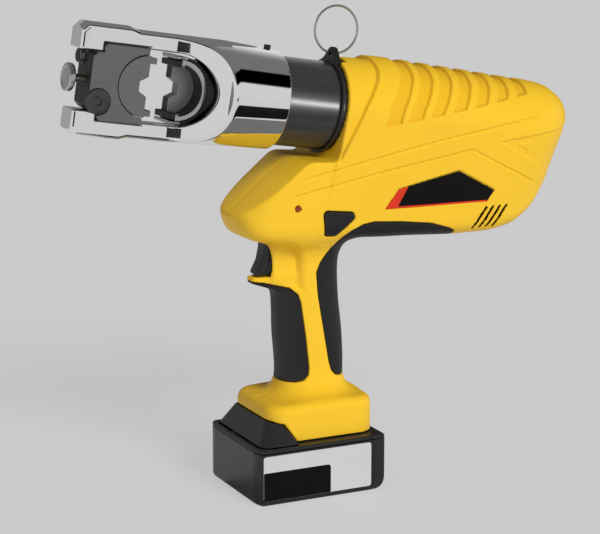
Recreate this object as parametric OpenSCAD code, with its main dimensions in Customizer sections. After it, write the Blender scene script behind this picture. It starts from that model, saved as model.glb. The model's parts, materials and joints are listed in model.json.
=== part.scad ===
// Battery hydraulic crimping tool, pistol form.
// Millimetres. Origin at the centre of the battery's bottom face, +Z up, crimping head toward -X.
// The barrel parts are drawn level in their own frame, x along the barrel, then tipped head-up.

/* [Stance] */
// Height of the barrel line above the table, over the origin
axis_z = 304.5; // [290:0.5:320]
// Head-up tip of the barrel line in degrees
pitch = 9.2; // [6:0.1:12]

/* [Battery] */
// Battery length along its slide
batt_l = 111; // [108:1:120]
// Battery width
batt_w = 96; // [92:1:104]
// Height of the battery box up to its rim
batt_h = 45; // [44.5:0.5:49]
// Upright corner rounding of the battery
batt_r = 4; // [4:0.5:10]
// Battery wall thickness
batt_wall = 2.2; // [1.6:0.1:2.6]
// Cell diameter
cell_d = 18.2; // [17.5:0.1:18.3]
// Cell length
cell_l = 65; // [60:0.5:68]
// Depth of the battery's side name plates
label_t = 0.8; // [0.5:0.1:1]
// How far the battery catch presses down
latch_travel = 2.5; // [1.5:0.1:3]

/* [Head] */
// Outer radius of the hydraulic cylinder
cyl_r = 34.2; // [32:0.1:35]
// Bore radius of the hydraulic cylinder
bore_r = 26; // [24.5:0.1:27]
// Radius of the ram rod
rod_r = 20; // [18:0.1:20.5]
// Outer radius of the fork's raised ends
arm_r = 42.5; // [41.5:0.1:44]
// Outer radius of the fork behind the raised ends
neck_r = 40.6; // [39.5:0.1:41]
// Radius at the rear rim of the fork's sleeve
sleeve_r = 38; // [36.5:0.1:39]
// Half thickness of the fork arms
flat_y = 11.5; // [9:0.1:13]
// Length of the head from the barrel datum to the fork tips
head_l = 192; // [188:0.5:198]
// Half height of the opening between the arms
slot_t = 28.7; // [28:0.1:30]
// Half height of the opening between the hooks
hook_t = 22.2; // [20:0.1:23]

/* [Gate and dies] */
// Half thickness of the sliding gate
gate_y = 14.7; // [13.5:0.1:17]
// Radius of the die halves
die_r = 23; // [21:0.1:23.5]
// Thickness of the inner die's notched web
web_t = 10.5; // [8:0.1:14]
// Side of the six-sided crimp form
hex_side = 7.4; // [5:0.1:9]
// Reach of the die ears past the die face
ear_l = 5; // [3:0.1:6]
// Travel of the ram
ram_travel = 14.5; // [10:0.1:14.5]
// Radius of the die pin's pull knob
knob_r = 10.5; // [8:0.1:12]
// Pull of the die pin
pin_travel = 6; // [4:0.1:6]

/* [Housing] */
// Radius of the barrel half of the housing
body_r = 41.5; // [40.5:0.1:43]
// Half width of the housing's lower half
keel_w = 33; // [32:0.1:36]
// Half depth of the grip
grip_d = 28; // [27:0.1:30]
// Half width of the grip
grip_w = 20; // [19:0.1:22]
// Half width of the foot
foot_w = 39; // [38:0.1:42]
// Thickness of the soft grip skins
skin_t = 2.4; // [1.5:0.1:2.8]
// Depth of the side name plates
plate_t = 0.8; // [0.5:0.1:1.2]
// Travel of the trigger
trigger_travel = 6; // [3:0.1:6]
// Travel of the oil release button
button_travel = 2.5; // [1:0.1:3]
// Radius of the hand strap ring
ring_r = 18.4; // [15:0.1:20]
// Wire radius of the hand strap ring
ring_wire = 0.9; // [0.6:0.05:1.2]

/* [Drive] */
// Radius of the motor can
motor_r = 27; // [24:0.1:28]
// Throw of the pump eccentric
throw = 3; // [2:0.1:3.5]
// Radius of the pump plunger
plunger_r = 5; // [4:0.1:6]

/* [Hidden] */
$fn = 44;
// Where the barrel datum lies on the barrel line
axis_x = 6.3;
// Named clearances
fit = 0.05;
slide_gap = 0.2;
free_gap = 0.4;

// Barrel stations, x along the barrel, negative toward the head
cyl_front = -30;
cyl_rear = 44;
spigot_r = bore_r + 5;
set_x = cyl_front - 8;
bore_end = 26;
tip_x = -head_l;
hook_x = tip_x + 18.4;
step_x = tip_x + 41;
neck_x = cyl_front - 44;
piston_x = 5;
piston_l = 17;
outer_face = tip_x + die_r + 32.2;
inner_face = outer_face + 2 * ear_l + ram_travel + 0.3;
gate_face = outer_face - 1.4;
runout_x = inner_face - 6;
cradle_r = die_r + 2.4;
rear_t = cradle_r + 1.8;
slot_end = inner_face + rear_t;
gland_face = slot_end + head_l * 5 / 48;
spigot_front = gland_face + 2;
gland_rear = gland_face + 12;
seat_r = die_r + fit;
die_y = gate_y - 0.4;
die_wall = 3.8;
gate_x0 = tip_x + 9.8;
pin_tip = outer_face - die_r + 3.3;
pin_r = 3;
bush_r = 5.5;
shoulder_x = pin_tip - 9.5;
shoulder_l = 2.5;
spring_rest = 3.7;
bush_l = shoulder_x - shoulder_l - pin_travel - spring_rest - gate_x0;
collar_x0 = 13.9;
collar_x1 = 25;
collar_t = 2.6;
front_rim = 17;
rim_back = 26;
ring_groove = 34;
pump_x0 = 47;
pump_x1 = 93;
gear_x1 = 122;
motor_x1 = 190;
lug_t = body_r - 0.5;
lug_x = 18.4;

// Grip, foot and battery levels
foot_z0 = batt_h + 1;
foot_z1 = foot_z0 + 26;
foot_x0 = -40;
foot_x1 = 52;
foot_r = 16;
cell_gap = 0.25;
case_top = batt_h - 3;
latch_z0 = batt_h + 2;
catch_z = foot_z0 + 16.6;
latch_w = batt_w / 2 - 4.4;
latch_x0 = 5.9 - batt_l / 2;
latch_r = 9;
latch_spring_x = latch_x0 + 13.6;
trigger_mid = 188;
trigger_back = -19;
switch_x = trigger_back + trigger_travel + 0.9;
trigger_z0 = trigger_mid - 15.6;
trigger_z1 = trigger_mid + 13;

// Barrel frame
module barrel() {
  translate([axis_x, 0, axis_z]) rotate([0, pitch, 0]) children();
}

// Round bar along the barrel from a to b
module rod(a, b, r) {
  translate([a, 0, 0]) rotate([0, 90, 0]) cylinder(h = b - a, r = r);
}

// Round bar across the tool from y0 to y1
module cross_bar(y0, y1, r) {
  translate([0, y1, 0]) rotate([90, 0, 0]) cylinder(h = y1 - y0, r = r);
}

// Prism across the tool over points given as x and z
module side_prism(points, y0, y1) {
  translate([0, y1, 0]) rotate([90, 0, 0]) linear_extrude(height = y1 - y0) polygon(points);
}

// Rounded rectangle, corner arcs cut into short straights
function round_rect(x0, x1, w, r, n = 6) = [
  for (c = [0:3], i = [0:n])
    let (
      a = c * 90 + i * 90 / n,
      cx = (c == 0 || c == 3) ? x1 - r : x0 + r,
      cy = c < 2 ? w - r : r - w
    )
    [cx + r * cos(a), cy + r * sin(a)]
];

// Soft oval for the grip
function oval(d, w, n = 28) = [
  for (i = [0:n - 1])
    let (a = 360 * i / n, c = cos(a), s = sin(a))
    [d * sign(c) * pow(abs(c), 0.8), w * sign(s) * pow(abs(s), 0.8)]
];

// Wire coil standing on z = 0, one unbroken tube
coil_sides = 6;
coil_rings = 12;
function coil_point(r, wire, len, turns, k) =
  let (total = turns * coil_rings, f = k / total, a = 360 * turns * f)
  [r * cos(a), r * sin(a), wire / 2 + (len - wire) * f];
module coil(r, wire, len, turns) {
  count = turns * coil_rings;
  points = [
    for (k = [0:count], j = [0:coil_sides - 1])
      let (
        p = coil_point(r, wire, len, turns, k),
        a = 360 * turns * k / count,
        b = 360 * j / coil_sides,
        e = wire / 2 * cos(b)
      )
      [p[0] + e * cos(a), p[1] + e * sin(a), p[2] + wire / 2 * sin(b)]
  ];
  sides = [
    for (k = [0:count - 1], j = [0:coil_sides - 1], h = [0, 1])
      let (
        j2 = (j + 1) % coil_sides,
        a = k * coil_sides + j,
        b = k * coil_sides + j2,
        c = a + coil_sides,
        d = b + coil_sides
      )
      h == 0 ? [a, b, d] : [a, d, c]
  ];
  start = [for (j = [coil_sides - 1:-1:0]) j];
  end = [for (j = [0:coil_sides - 1]) count * coil_sides + j];
  echo(coil_gap = (len - wire) / turns - wire);
  polyhedron(points = points, faces = concat(sides, [start], [end]), convexity = 8);
}

// Housing stations along the barrel: x, barrel radius, barrel centre height, lower edge, lower half width
body_stations = [
  [front_rim, body_r - 2.3, 0, -100, keel_w + 1],
  [52, body_r - 0.5, 0, -97.5, keel_w + 1],
  [60, body_r + 0.8, 0, -97, keel_w + 1],
  [95, body_r, 0.3, -93.3, keel_w],
  [150, body_r - 1.8, 0.9, -87.3, keel_w - 1.5],
  [178, body_r - 2.6, 1.5, -82, keel_w - 3.5],
  [197, body_r - 3.2, 1.5, -73.5, keel_w - 6],
  [212, body_r - 8, 3.5, -57, keel_w - 10],
  [223, body_r - 15.5, 6, -30, keel_w - 14],
  [231, body_r - 24, 9.5, -6, keel_w - 22]
];
keel_r = 14;

// Chin stations: x, upper edge, lower edge, upper and lower half widths, upper and lower corner radius
chin_stations = [
  [-50, -86.5, -99, keel_w - 16, keel_w - 16, 4, 6],
  [-47.5, -83, -103, keel_w - 9, keel_w - 9, 4, 9],
  [-43, -78.5, -106, keel_w - 3.5, keel_w - 4, 4, 12],
  [-36, -71, -108, keel_w + 1, keel_w - 0.5, 4, 14],
  [-28, -62, -108.5, keel_w + 2.2, keel_w + 1, 4, 14],
  [-8, -40, -107, keel_w + 3.5, keel_w + 1, 4, 14],
  [front_rim, -39, -101, keel_w + 3.5, keel_w + 1, 6, 14],
  [50, -30, -97.5, keel_w, keel_w + 1, 14, 14]
];

// Grip stations: z, centre, half depth, half width
grip_stations = [
  [84, 10, grip_d - 0.8, grip_w + 0.6],
  [100, 10, grip_d - 0.4, grip_w],
  [124, 8.4, grip_d, grip_w],
  [150, 6.6, grip_d - 1, grip_w - 0.6],
  [174, 5, grip_d - 0.4, grip_w - 0.6],
  [182, 6.3, grip_d + 1, grip_w],
  [187, 8.3, grip_d + 3.5, grip_w + 0.5],
  [191, 11.8, grip_d + 7.2, grip_w + 1.5],
  [194.5, 18, grip_d + 13.6, grip_w + 3],
  [199, 28, grip_d + 24, grip_w + 6],
  [212, 30, grip_d + 24, grip_w + 8]
];

module body_slab(s, inset) {
  translate([s[0] - 0.5, 0, s[2]]) rotate([0, 90, 0]) cylinder(h = 1, r = s[1] - inset, $fn = 32);
  for (side = [-1, 1])
    translate([s[0] - 0.5, side * (s[4] - min(keel_r, s[4] - 1)), s[3] + min(keel_r, s[4] - 1)])
      rotate([0, 90, 0]) cylinder(h = 1, r = min(keel_r, s[4] - 1) - inset, $fn = 16);
}

module chin_slab(s, inset) {
  for (side = [-1, 1], low = [0, 1])
    translate([s[0] - 0.5, side * (s[3 + low] - s[5 + low]), low == 0 ? s[1] - s[5] : s[2] + s[6]])
      rotate([0, 90, 0]) cylinder(h = 1, r = s[5 + low] - inset, $fn = 14);
}

module grip_slab(s, inset) {
  translate([s[1], 0, s[0] - 0.5]) linear_extrude(height = 1) polygon(oval(s[2] - inset, s[3] - inset));
}

module foot_slab(z, shrink, inset) {
  translate([0, 0, z - 0.5]) linear_extrude(height = 1)
    polygon(round_rect(foot_x0 + shrink + inset, foot_x1 - shrink - inset, foot_w - shrink - inset, foot_r));
}

// Outer form of the housing, shrunk by inset
module form(inset) {
  barrel() {
    for (i = [0:len(body_stations) - 2]) hull() {
      body_slab(body_stations[i], inset);
      body_slab(body_stations[i + 1], inset);
    }
    for (i = [0:len(chin_stations) - 2]) hull() {
      chin_slab(chin_stations[i], inset);
      chin_slab(chin_stations[i + 1], inset);
    }
  }
  for (i = [0:len(grip_stations) - 2]) hull() {
    grip_slab(grip_stations[i], inset);
    grip_slab(grip_stations[i + 1], inset);
  }
  hull() {
    foot_slab(foot_z0 + 0.5, 0, inset);
    foot_slab(foot_z1 - 4, 0, inset);
    foot_slab(foot_z1 + 1, 4, inset);
    foot_slab(foot_z1 + 5, 13, inset);
  }
  hull() {
    foot_slab(foot_z1 + 4, 12, inset);
    grip_slab(grip_stations[0], inset);
  }
  hull() {
    translate([-38.5, 0, 169]) cross_bar(-7 + inset, 7 - inset, 2.8 - inset / 2, $fn = 16);
    translate([-10, 0, 165]) cross_bar(-12, 12, 8 - inset, $fn = 16);
  }
}

// Outlines of the soft grips as seen from the side, x and z
front_grip_outline = [
  [-60, 170.5], [-33, 167.4], [-13, 162.5], [-7.5, 157.6], [-5.2, 150.8], [-1.5, 123.5], [1.4, 97.6],
  [0.6, 92], [-3, 88.4], [-9, 87.2], [-60, 87.2]
];
rear_grip_outline = [
  [126, 199], [120, 201.8], [103, 207.3], [76, 211], [51, 213.2], [42, 212], [32, 207.5], [25, 202],
  [11, 181.5], [8, 174], [9.5, 156], [15.2, 122], [19, 101.3], [21.2, 94.2], [25, 90], [30, 88.6],
  [60, 88.6], [70, 150], [126, 170]
];
plate_outline = [[60, 223], [71.5, 239], [125, 248.6], [160, 230], [152.5, 221.8]];
accent_outline = [
  plate_outline[0], plate_outline[1], plate_outline[1] + 0.13 * (plate_outline[2] - plate_outline[1]),
  plate_outline[0] + 0.0735 * (plate_outline[4] - plate_outline[0])
];

// Front cut of the foot, where the battery catch rises
catch_cut = [
  [-70, foot_z0 - 6], [-70, catch_z + 0.5], [-40, catch_z + 0.5], [-28.4, catch_z - 2.1],
  [-18.2, foot_z0 - 0.4], [-18.2, foot_z0 - 6]
];

// Oil release button outline, x and z
button_outline = [[6.5, 225.5], [31.5, 222.5], [33.5, 218.5], [18.5, 204.5], [7.8, 205.5]];
button_mid = [18, 215.5];
button_face = -(keel_w + 2);
button_back = button_face + 9;
button_floor = button_back + button_travel + 1;

// Pilot light on the chin's near side
lens_spot = [-15.5, 0, 229];
lens_y = -(keel_w + 1.2);
lens_r = 2.4;

// Housing screws: x, z, height of the head seat
screw_spots = [
  [-28, 228, 16], [46, 226, 24], [3, 150, 11], [8.5, 104, 11], [203, 257, 20], [178, 218, 16]
];

module screw_cuts() {
  for (p = screw_spots) translate([p[0], 0, p[1]]) {
    cross_bar(-9, p[2] + 1, 1.65);
    cross_bar(p[2], 60, 3.7);
  }
}

// Slanted cut of the housing's front rim, which leaves room for the strap lug
rim_cut = [[5, 60], [5, 5], [front_rim - 1, 5], [rim_back, body_r - 3], [rim_back + 6, 60]];

// Room inside the housing
module housing_room() {
  barrel() {
    rod(-70, 46.5, cyl_r + free_gap);
    rod(-70, collar_x1 + 0.2, cyl_r + collar_t + free_gap);
    side_prism(rim_cut, -60, 60);
    rod(ring_groove, ring_groove + 3, cyl_r + 3.4);
    rod(46, 112, body_r - 5.5);
    rod(111, 197, body_r - 8.5);
    translate([60, -26, -68]) cube([118, 52, 68]);
    translate([20, -10, -67]) cube([50, 20, 20]);
  }
  translate([-9.5, -11, 72]) cube([8, 22, 100]);
  translate([switch_x - 0.1, -10.1, trigger_mid - 17]) cube([35, 20.2, 33]);
  translate([-12, -14, 203]) cube([36, 28, 37]);
  translate([-70, -32.8, foot_z0 - 4]) cube([60, 65.6, catch_z + 4.2 - foot_z0]);
  translate([-19.5, -33, foot_z0 - 3]) cube([65.5, 66, 20.4]);
  translate([-18.5, -20.6, foot_z0 + 10]) cube([64.4, 41.2, 16]);
  translate([-70, -9, trigger_z0 - 0.4]) cube([switch_x + 70.1, 18, trigger_z1 - trigger_z0 + 0.8]);
  side_prism(catch_cut, -60, 60);
  translate(lens_spot) cross_bar(-60, -20, lens_r + fit);
  side_prism([for (p = button_outline) button_mid + 1.025 * (p - button_mid)], -60, button_floor);
  translate([button_mid[0], 0, button_mid[1]]) cross_bar(-40, -14.2, 4.6);
  vents();
  screw_cuts();
}

// Four cooling slits on each side of the tail
module vents() {
  for (side = [-1, 1], i = [0:3])
    translate([147.7 + 6.45 * i, side * 40, 207.9]) rotate([0, 34, 0]) cube([2, 34, 19.2], center = true);
}

// Rails of the foot that the battery hangs on
module foot_rails() {
  for (side = [-1, 1])
    translate([-16.5, side * 30.75 - 2.5, foot_z0]) cube([63, 5, 5]);
}

module housing_half(side) {
  color("gold") intersection() {
    translate([0, side * 100, 250]) cube([700, 200, 600], center = true);
    difference() {
      union() {
        difference() {
          form(0);
          housing_room();
        }
        foot_rails();
      }
      difference() {
        union() {
          side_prism(front_grip_outline, -60, 60);
          side_prism(rear_grip_outline, -60, 60);
        }
        form(skin_t + 0.1);
      }
      difference() {
        side_prism(plate_outline, -60, 60);
        form(plate_t + 0.1);
      }
    }
  }
}

module left_housing() { housing_half(-1); }
module right_housing() { housing_half(1); }

module skin(outline, depth) {
  difference() {
    intersection() {
      form(0);
      side_prism(outline, -60, 60);
    }
    form(depth);
    housing_room();
  }
}

module front_grip() { color("dimgray") skin(front_grip_outline, skin_t); }
module rear_grip() { color("dimgray") skin(rear_grip_outline, skin_t); }

module side_plates() {
  color("black") difference() {
    skin(plate_outline, plate_t);
    side_prism(accent_outline, -60, 60);
  }
}
module plate_accents() { color("red") skin(accent_outline, plate_t); }

module housing_screws() {
  color("silver") for (p = screw_spots) translate([p[0], 0, p[1]]) difference() {
    union() {
      cross_bar(-8, p[2] + 0.5, 1.6);
      cross_bar(p[2] + 0.02, p[2] + 3, 3.3);
    }
    translate([0, p[2] + 3, 0]) rotate([90, 0, 0]) cylinder(h = 1.6, r = 1.6, $fn = 6);
  }
}

module indicator_lens() {
  color("red") translate(lens_spot) {
    cross_bar(lens_y, lens_y + 10, lens_r);
    translate([0, lens_y, 0]) rotate([90, 0, 0]) cylinder(h = 1.2, r1 = lens_r, r2 = lens_r - 0.9);
  }
}

module lanyard_collar() {
  color("black") barrel() difference() {
    union() {
      rod(collar_x0, collar_x1, cyl_r + collar_t);
      translate([lug_x - 2.7, -5.4, cyl_r + 1]) cube([5.4, 10.8, lug_t - cyl_r - 1]);
      translate([0, 0, lug_t]) rod(lug_x - 2.7, lug_x + 2.7, 5.4);
    }
    rod(collar_x0 - 1, collar_x1 + 1, cyl_r + 0.08);
    translate([0, 0, lug_t]) rod(lug_x - 6, lug_x + 6, ring_wire + 0.8);
  }
}

module swivel_ring() {
  color("dimgray") barrel() difference() {
    rod(ring_groove + 0.2, ring_groove + 2.8, cyl_r + 3.1);
    rod(ring_groove - 1, ring_groove + 4, cyl_r - 1.9);
    translate([ring_groove - 1, -3, 0]) cube([5, 6, 50]);
  }
}

module hydraulic_cylinder() {
  color("black") barrel() difference() {
    union() {
      rod(spigot_front, cyl_front + 1, spigot_r);
      rod(cyl_front, cyl_rear, cyl_r);
    }
    rod(spigot_front - 1, bore_end, bore_r);
    rod(bore_end - 1, cyl_rear + 1, 6);
    difference() {
      rod(ring_groove - 0.2, ring_groove + 3.2, cyl_r + 1);
      rod(ring_groove - 1, ring_groove + 4, cyl_r - 2.3);
    }
  }
}

module yoke() {
  runout_r = 43.4;
  color("silver") barrel() difference() {
    rotate([0, 90, 0]) rotate_extrude() polygon([
      [0, tip_x], [arm_r - 4, tip_x], [arm_r, tip_x + 4], [arm_r, step_x - 2], [neck_r, step_x + 4.5],
      [neck_r, neck_x], [sleeve_r, cyl_front - 0.6], [sleeve_r - 0.6, cyl_front], [0, cyl_front]
    ]);
    for (side = [-1, 1]) {
      translate([(tip_x + runout_x) / 2 - 1, side * (flat_y + 30), 0])
        cube([runout_x - tip_x + 2, 60, 120], center = true);
      translate([runout_x, side * (flat_y + runout_r - 0.4), -60]) cylinder(h = 120, r = runout_r);
    }
    translate([tip_x - 1, -60, -hook_t]) cube([gate_face - tip_x + 1, 120, 2 * hook_t]);
    translate([hook_x, -60, -slot_t]) cube([gate_face + free_gap - hook_x, 120, 2 * slot_t]);
    translate([gate_face, -60, -rear_t]) cube([inner_face - gate_face, 120, 2 * rear_t]);
    translate([inner_face, 0, 0]) cross_bar(-60, 60, rear_t);
    rod(inner_face, gland_face + 1, rod_r + 2);
    rod(gland_face, cyl_front + 1, spigot_r + fit);
    translate([set_x, 0, spigot_r - 2]) cylinder(h = 20, r = 2.65);
  }
}

module yoke_set_screw() {
  color("black") barrel() difference() {
    translate([set_x, 0, spigot_r + 0.02]) cylinder(h = sleeve_r + 3.3 - spigot_r, r = 2.6);
    translate([set_x, 0, sleeve_r + 1.8]) cylinder(h = 3, r = 1.4, $fn = 6);
  }
}

module rod_gland() {
  color("peru") barrel() difference() {
    union() {
      rod(gland_face, spigot_front, spigot_r - 0.1);
      rod(spigot_front - 1, gland_rear, bore_r - fit);
    }
    rod(gland_face - 1, gland_rear + 1, rod_r + 0.08);
  }
}

module return_spring() {
  gap = bore_r - rod_r;
  color("gray") barrel() translate([gland_rear + 0.1, 0, 0]) rotate([0, 90, 0])
    coil((bore_r + rod_r) / 2, gap - 2, piston_x - gland_rear - 0.2, 7);
}

module ram() {
  color("lightgray") barrel() difference() {
    union() {
      translate([inner_face, 0, 0]) intersection() {
        cross_bar(-gate_y, gate_y, cradle_r);
        translate([1, -gate_y - 1, -cradle_r - 1]) cube([cradle_r, 2 * gate_y + 2, 2 * cradle_r + 2]);
      }
      for (side = [-1, 1])
        translate([inner_face - 1, 0, side * (cradle_r + seat_r + 0.8) / 2])
          cube([8, 2 * gate_y, cradle_r - seat_r - 0.8], center = true);
      rod(inner_face + 10, piston_x + 1, rod_r);
      rod(piston_x, piston_x + piston_l, bore_r - 0.08);
    }
    translate([inner_face, 0, 0]) cross_bar(-40, 40, seat_r);
    difference() {
      rod(piston_x + 6, piston_x + 11, bore_r + 1);
      rod(piston_x + 5, piston_x + 12, bore_r - 3.6);
    }
  }
}

module piston_seal() {
  color("black") barrel() difference() {
    rod(piston_x + 6.2, piston_x + 10.8, bore_r - 0.06);
    rod(piston_x + 5, piston_x + 12, bore_r - 3.5);
  }
}

// Half die with a half six-sided form, hollow before web_y; flip turns it to face the other half
module die_half(face, flip, web_y) {
  ear_t = die_r - 1.2;
  translate([face, 0, 0]) mirror([flip, 0, 0]) difference() {
    union() {
      difference() {
        intersection() {
          cross_bar(-die_y, die_y, die_r);
          translate([0, -50, -50]) cube([100, 100, 100]);
        }
        if (web_y > -die_y) cross_bar(-50, web_y, die_r - die_wall);
      }
      for (side = [-1, 1])
        translate([-ear_l / 2 + 1, 0, side * (ear_t - 2.2)])
          cube([ear_l + 2, 2 * die_y, 4.4], center = true);
    }
    side_prism([
      [-1, -hex_side], [0, -hex_side], [hex_side * 0.866, -hex_side / 2],
      [hex_side * 0.866, hex_side / 2], [0, hex_side], [-1, hex_side]
    ], -50, 50);
    rod(die_r - 4.6, die_r + 1, pin_r + 0.4);
  }
}

module inner_die() { color("gray") barrel() die_half(inner_face, 0, die_y - web_t); }
module outer_die() { color("gray") barrel() die_half(outer_face, 1, -die_y); }

stop_x = hook_x - 0.4;
stop_t = -(hook_t - 7.5);
stop_r = 9.5;

module gate() {
  color("dimgray") barrel() difference() {
    union() {
      translate([gate_x0, -gate_y, -hook_t + slide_gap])
        cube([gate_face - gate_x0, 2 * gate_y, 2 * (hook_t - slide_gap)]);
      translate([hook_x + slide_gap, -gate_y, -slot_t + slide_gap])
        cube([gate_face - hook_x - slide_gap, 2 * gate_y, 2 * (slot_t - slide_gap)]);
      translate([0, gate_y - 5.7, hook_t - 6]) rod(gate_x0 - 3.6, gate_x0 + 1, 5.4);
    }
    translate([outer_face, 0, 0]) cross_bar(-40, 40, seat_r);
    rod(gate_x0 - 1, pin_tip, pin_r + 0.08);
    rod(gate_x0 - 1, shoulder_x, bush_r);
    translate([stop_x, 0, stop_t]) {
      cross_bar(-40, -flat_y - slide_gap, stop_r + 0.1);
      cross_bar(-40, 3, 4 + fit);
    }
  }
}

module gate_stop_screw() {
  color("dimgray") barrel() translate([stop_x, 0, stop_t]) difference() {
    union() {
      cross_bar(-gate_y + 0.3, -flat_y - slide_gap, stop_r);
      cross_bar(-gate_y + 1, 2.8, 4);
    }
    translate([0, -gate_y + 1.6, 0]) rotate([90, 0, 0]) cylinder(h = 3, r = 3.5, $fn = 6);
  }
}

module pin_bush() {
  color("dimgray") barrel() difference() {
    rod(gate_x0, gate_x0 + bush_l, bush_r - fit);
    rod(gate_x0 - 1, gate_x0 + bush_l + 1, pin_r + 0.08);
  }
}

module pin_spring() {
  color("gray") barrel() translate([gate_x0 + bush_l + 0.1, 0, 0]) rotate([0, 90, 0])
    coil(pin_r + 1.2, 0.9, pin_travel + spring_rest - 0.5, 3);
}

module pull_pin() {
  knob_x = tip_x - 4.5;
  color("silver") barrel() {
    rod(knob_x + 4, pin_tip, pin_r);
    rod(knob_x + 4.5, knob_x + 5.5, pin_r + 1.5);
    rod(shoulder_x - 0.3 - shoulder_l, shoulder_x - 0.3, bush_r - 0.35);
    rotate([0, 90, 0]) rotate_extrude() polygon([
      [0, knob_x + 0.6], [knob_r - 3, knob_x + 0.6], [knob_r - 2.4, knob_x], [knob_r - 0.7, knob_x],
      [knob_r, knob_x + 0.7], [knob_r, knob_x + 4.1], [knob_r - 0.9, knob_x + 5], [0, knob_x + 5]
    ]);
  }
}

module lanyard_ring() {
  color("silver") barrel() translate([lug_x, 0, lug_t + ring_r]) rotate([90, 0, 0])
    rotate_extrude() translate([ring_r, 0]) circle(r = ring_wire, $fn = 20);
}

trigger_well = -30;
module trigger() {
  color("black") difference() {
    side_prism([
      [-30.6, trigger_z1 - 0.4], [-31.2, trigger_mid + 5], [-33.2, trigger_mid - 4],
      [-37.4, trigger_mid - 12], [-37.8, trigger_mid - 13.6], [-36, trigger_z0 + 0.2],
      [trigger_back - 3, trigger_z0 + 0.2], [trigger_back, trigger_z1 - 0.4]
    ], -8.5, 8.5);
    translate([0, 0, trigger_mid]) rod(trigger_well, -10, 4.2);
  }
}

module trigger_spring() {
  color("gray") translate([trigger_well + 0.1, 0, trigger_mid]) rotate([0, 90, 0])
    coil(3, 0.8, switch_x - trigger_well - 0.2, 6);
}

module trigger_switch() {
  color("black") difference() {
    translate([switch_x, -10, trigger_mid - 12]) cube([30, 20, 24]);
    translate([switch_x + 22.1, -11, trigger_mid - 13]) cube([4, 22, 8]);
  }
}

module release_button() {
  color("black") side_prism(button_outline, button_face, button_back);
}

module button_spring() {
  color("gray") translate([button_mid[0], button_back + 0.1, button_mid[1]]) rotate([-90, 0, 0])
    coil(3.2, 0.8, -14.3 - button_back, 4);
}

// Seat of the plunger's spring in the pump block
spring_seat = -23.5;
module pump_block() {
  color("silver") barrel() difference() {
    union() {
      rod(pump_x0, pump_x1, body_r - 6);
      rod(ring_groove + 3, pump_x0 + 1, 5.95);
    }
    rod(ring_groove + 2, 72, 2);
    rod(70, pump_x1 + 1, 21);
    translate([82, 0, -(body_r - 9)]) cylinder(h = 30, r = plunger_r + 0.06);
    translate([82, 0, spring_seat]) cylinder(h = 20, r = plunger_r + 4.4);
    translate([82, 0, -(body_r - 9)]) rotate([0, -90, 0]) cylinder(h = 12, r = 1.5);
  }
}

plunger_top = -(11 + throw + 0.3);
module pump_plunger() {
  color("lightgray") barrel() translate([82, 0, 0]) {
    translate([0, 0, -29]) cylinder(h = 29 + plunger_top, r = plunger_r);
    translate([0, 0, plunger_top - 2]) cylinder(h = 2, r = plunger_r + 3.5);
  }
}

module plunger_spring() {
  color("gray") barrel() translate([82, 0, spring_seat + 0.1])
    coil(plunger_r + 1.6, 1, plunger_top - 2.2 - spring_seat, 3);
}

module eccentric_shaft() {
  color("lightgray") barrel() {
    rod(74, 108, 6);
    translate([0, 0, throw]) rod(76, 88, 11);
    rod(101, 107, 19);
  }
}

module gearbox_case() {
  color("gray") barrel() difference() {
    rod(pump_x1, gear_x1, 30);
    rod(99, gear_x1 + 1, 24);
    rod(pump_x1 - 1, 100, 6.06);
  }
}

module motor_can() {
  color("silver") barrel() difference() {
    rod(gear_x1, motor_x1, motor_r);
    rod(gear_x1 + 3, motor_x1 - 3, motor_r - 2);
    rod(gear_x1 - 1, motor_x1 + 1, 3.06);
  }
}

module motor_rotor() {
  color("peru") barrel() {
    rod(111, motor_x1 + 4, 3);
    rod(gear_x1 + 8, motor_x1 - 12, motor_r - 4);
    rod(motor_x1 - 11, motor_x1 - 5, 9);
    rod(111, 119, 5);
  }
}

// Floor of the tray under the pump, and the bladder's height up to the pump
tray_t = -67.8;
bladder_h = -tray_t - (body_r - 6) - 3.3;
module oil_bladder() {
  color("saddlebrown") barrel() difference() {
    translate([64, -22, tray_t]) cube([52, 44, bladder_h]);
    translate([66, -20, tray_t + 2]) cube([48, 40, bladder_h - 4]);
  }
}

module control_board() {
  color("green") barrel() {
    translate([120, -24, tray_t]) cube([54, 48, 1.6]);
    translate([128, -18, tray_t + 1]) cube([14, 14, 9]);
    translate([150, 4, tray_t + 1]) cube([10, 14, 7]);
    translate([165, -10, tray_t + 1]) cylinder(h = 17, r = 6);
  }
}

module terminal_block() {
  color("black") {
    translate([0, -20, foot_z0 + 21]) cube([45.8, 40, 5]);
    for (side = [-1, 1]) translate([22, side * 10 - 0.5, foot_z0 + 12]) cube([14, 1, 10]);
  }
}

// Battery
plate_x0 = -batt_l / 2 + batt_r;
plate_x1 = batt_l / 2 - 13.3;
insert_l = 58;
insert_h = 22.8;
inner_w = batt_w / 2 - batt_wall - label_t;

module battery_case() {
  color("dimgray") difference() {
    union() {
      linear_extrude(height = case_top)
        polygon(round_rect(-batt_l / 2 + 1, batt_l / 2 - 1, batt_w / 2 - 1, batt_r));
      translate([0, 0, 1.2]) linear_extrude(height = case_top - 1.2)
        polygon(round_rect(-batt_l / 2, batt_l / 2, batt_w / 2, batt_r));
    }
    translate([0, 0, batt_wall]) linear_extrude(height = batt_h)
      polygon(round_rect(batt_wall - batt_l / 2, batt_l / 2 - batt_wall, inner_w, batt_r - 2));
    for (side = [-1, 1]) translate([plate_x0, side * batt_w / 2 - label_t, 4])
      cube([plate_x1 - plate_x0, 2 * label_t, case_top - 6]);
  }
}

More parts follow.
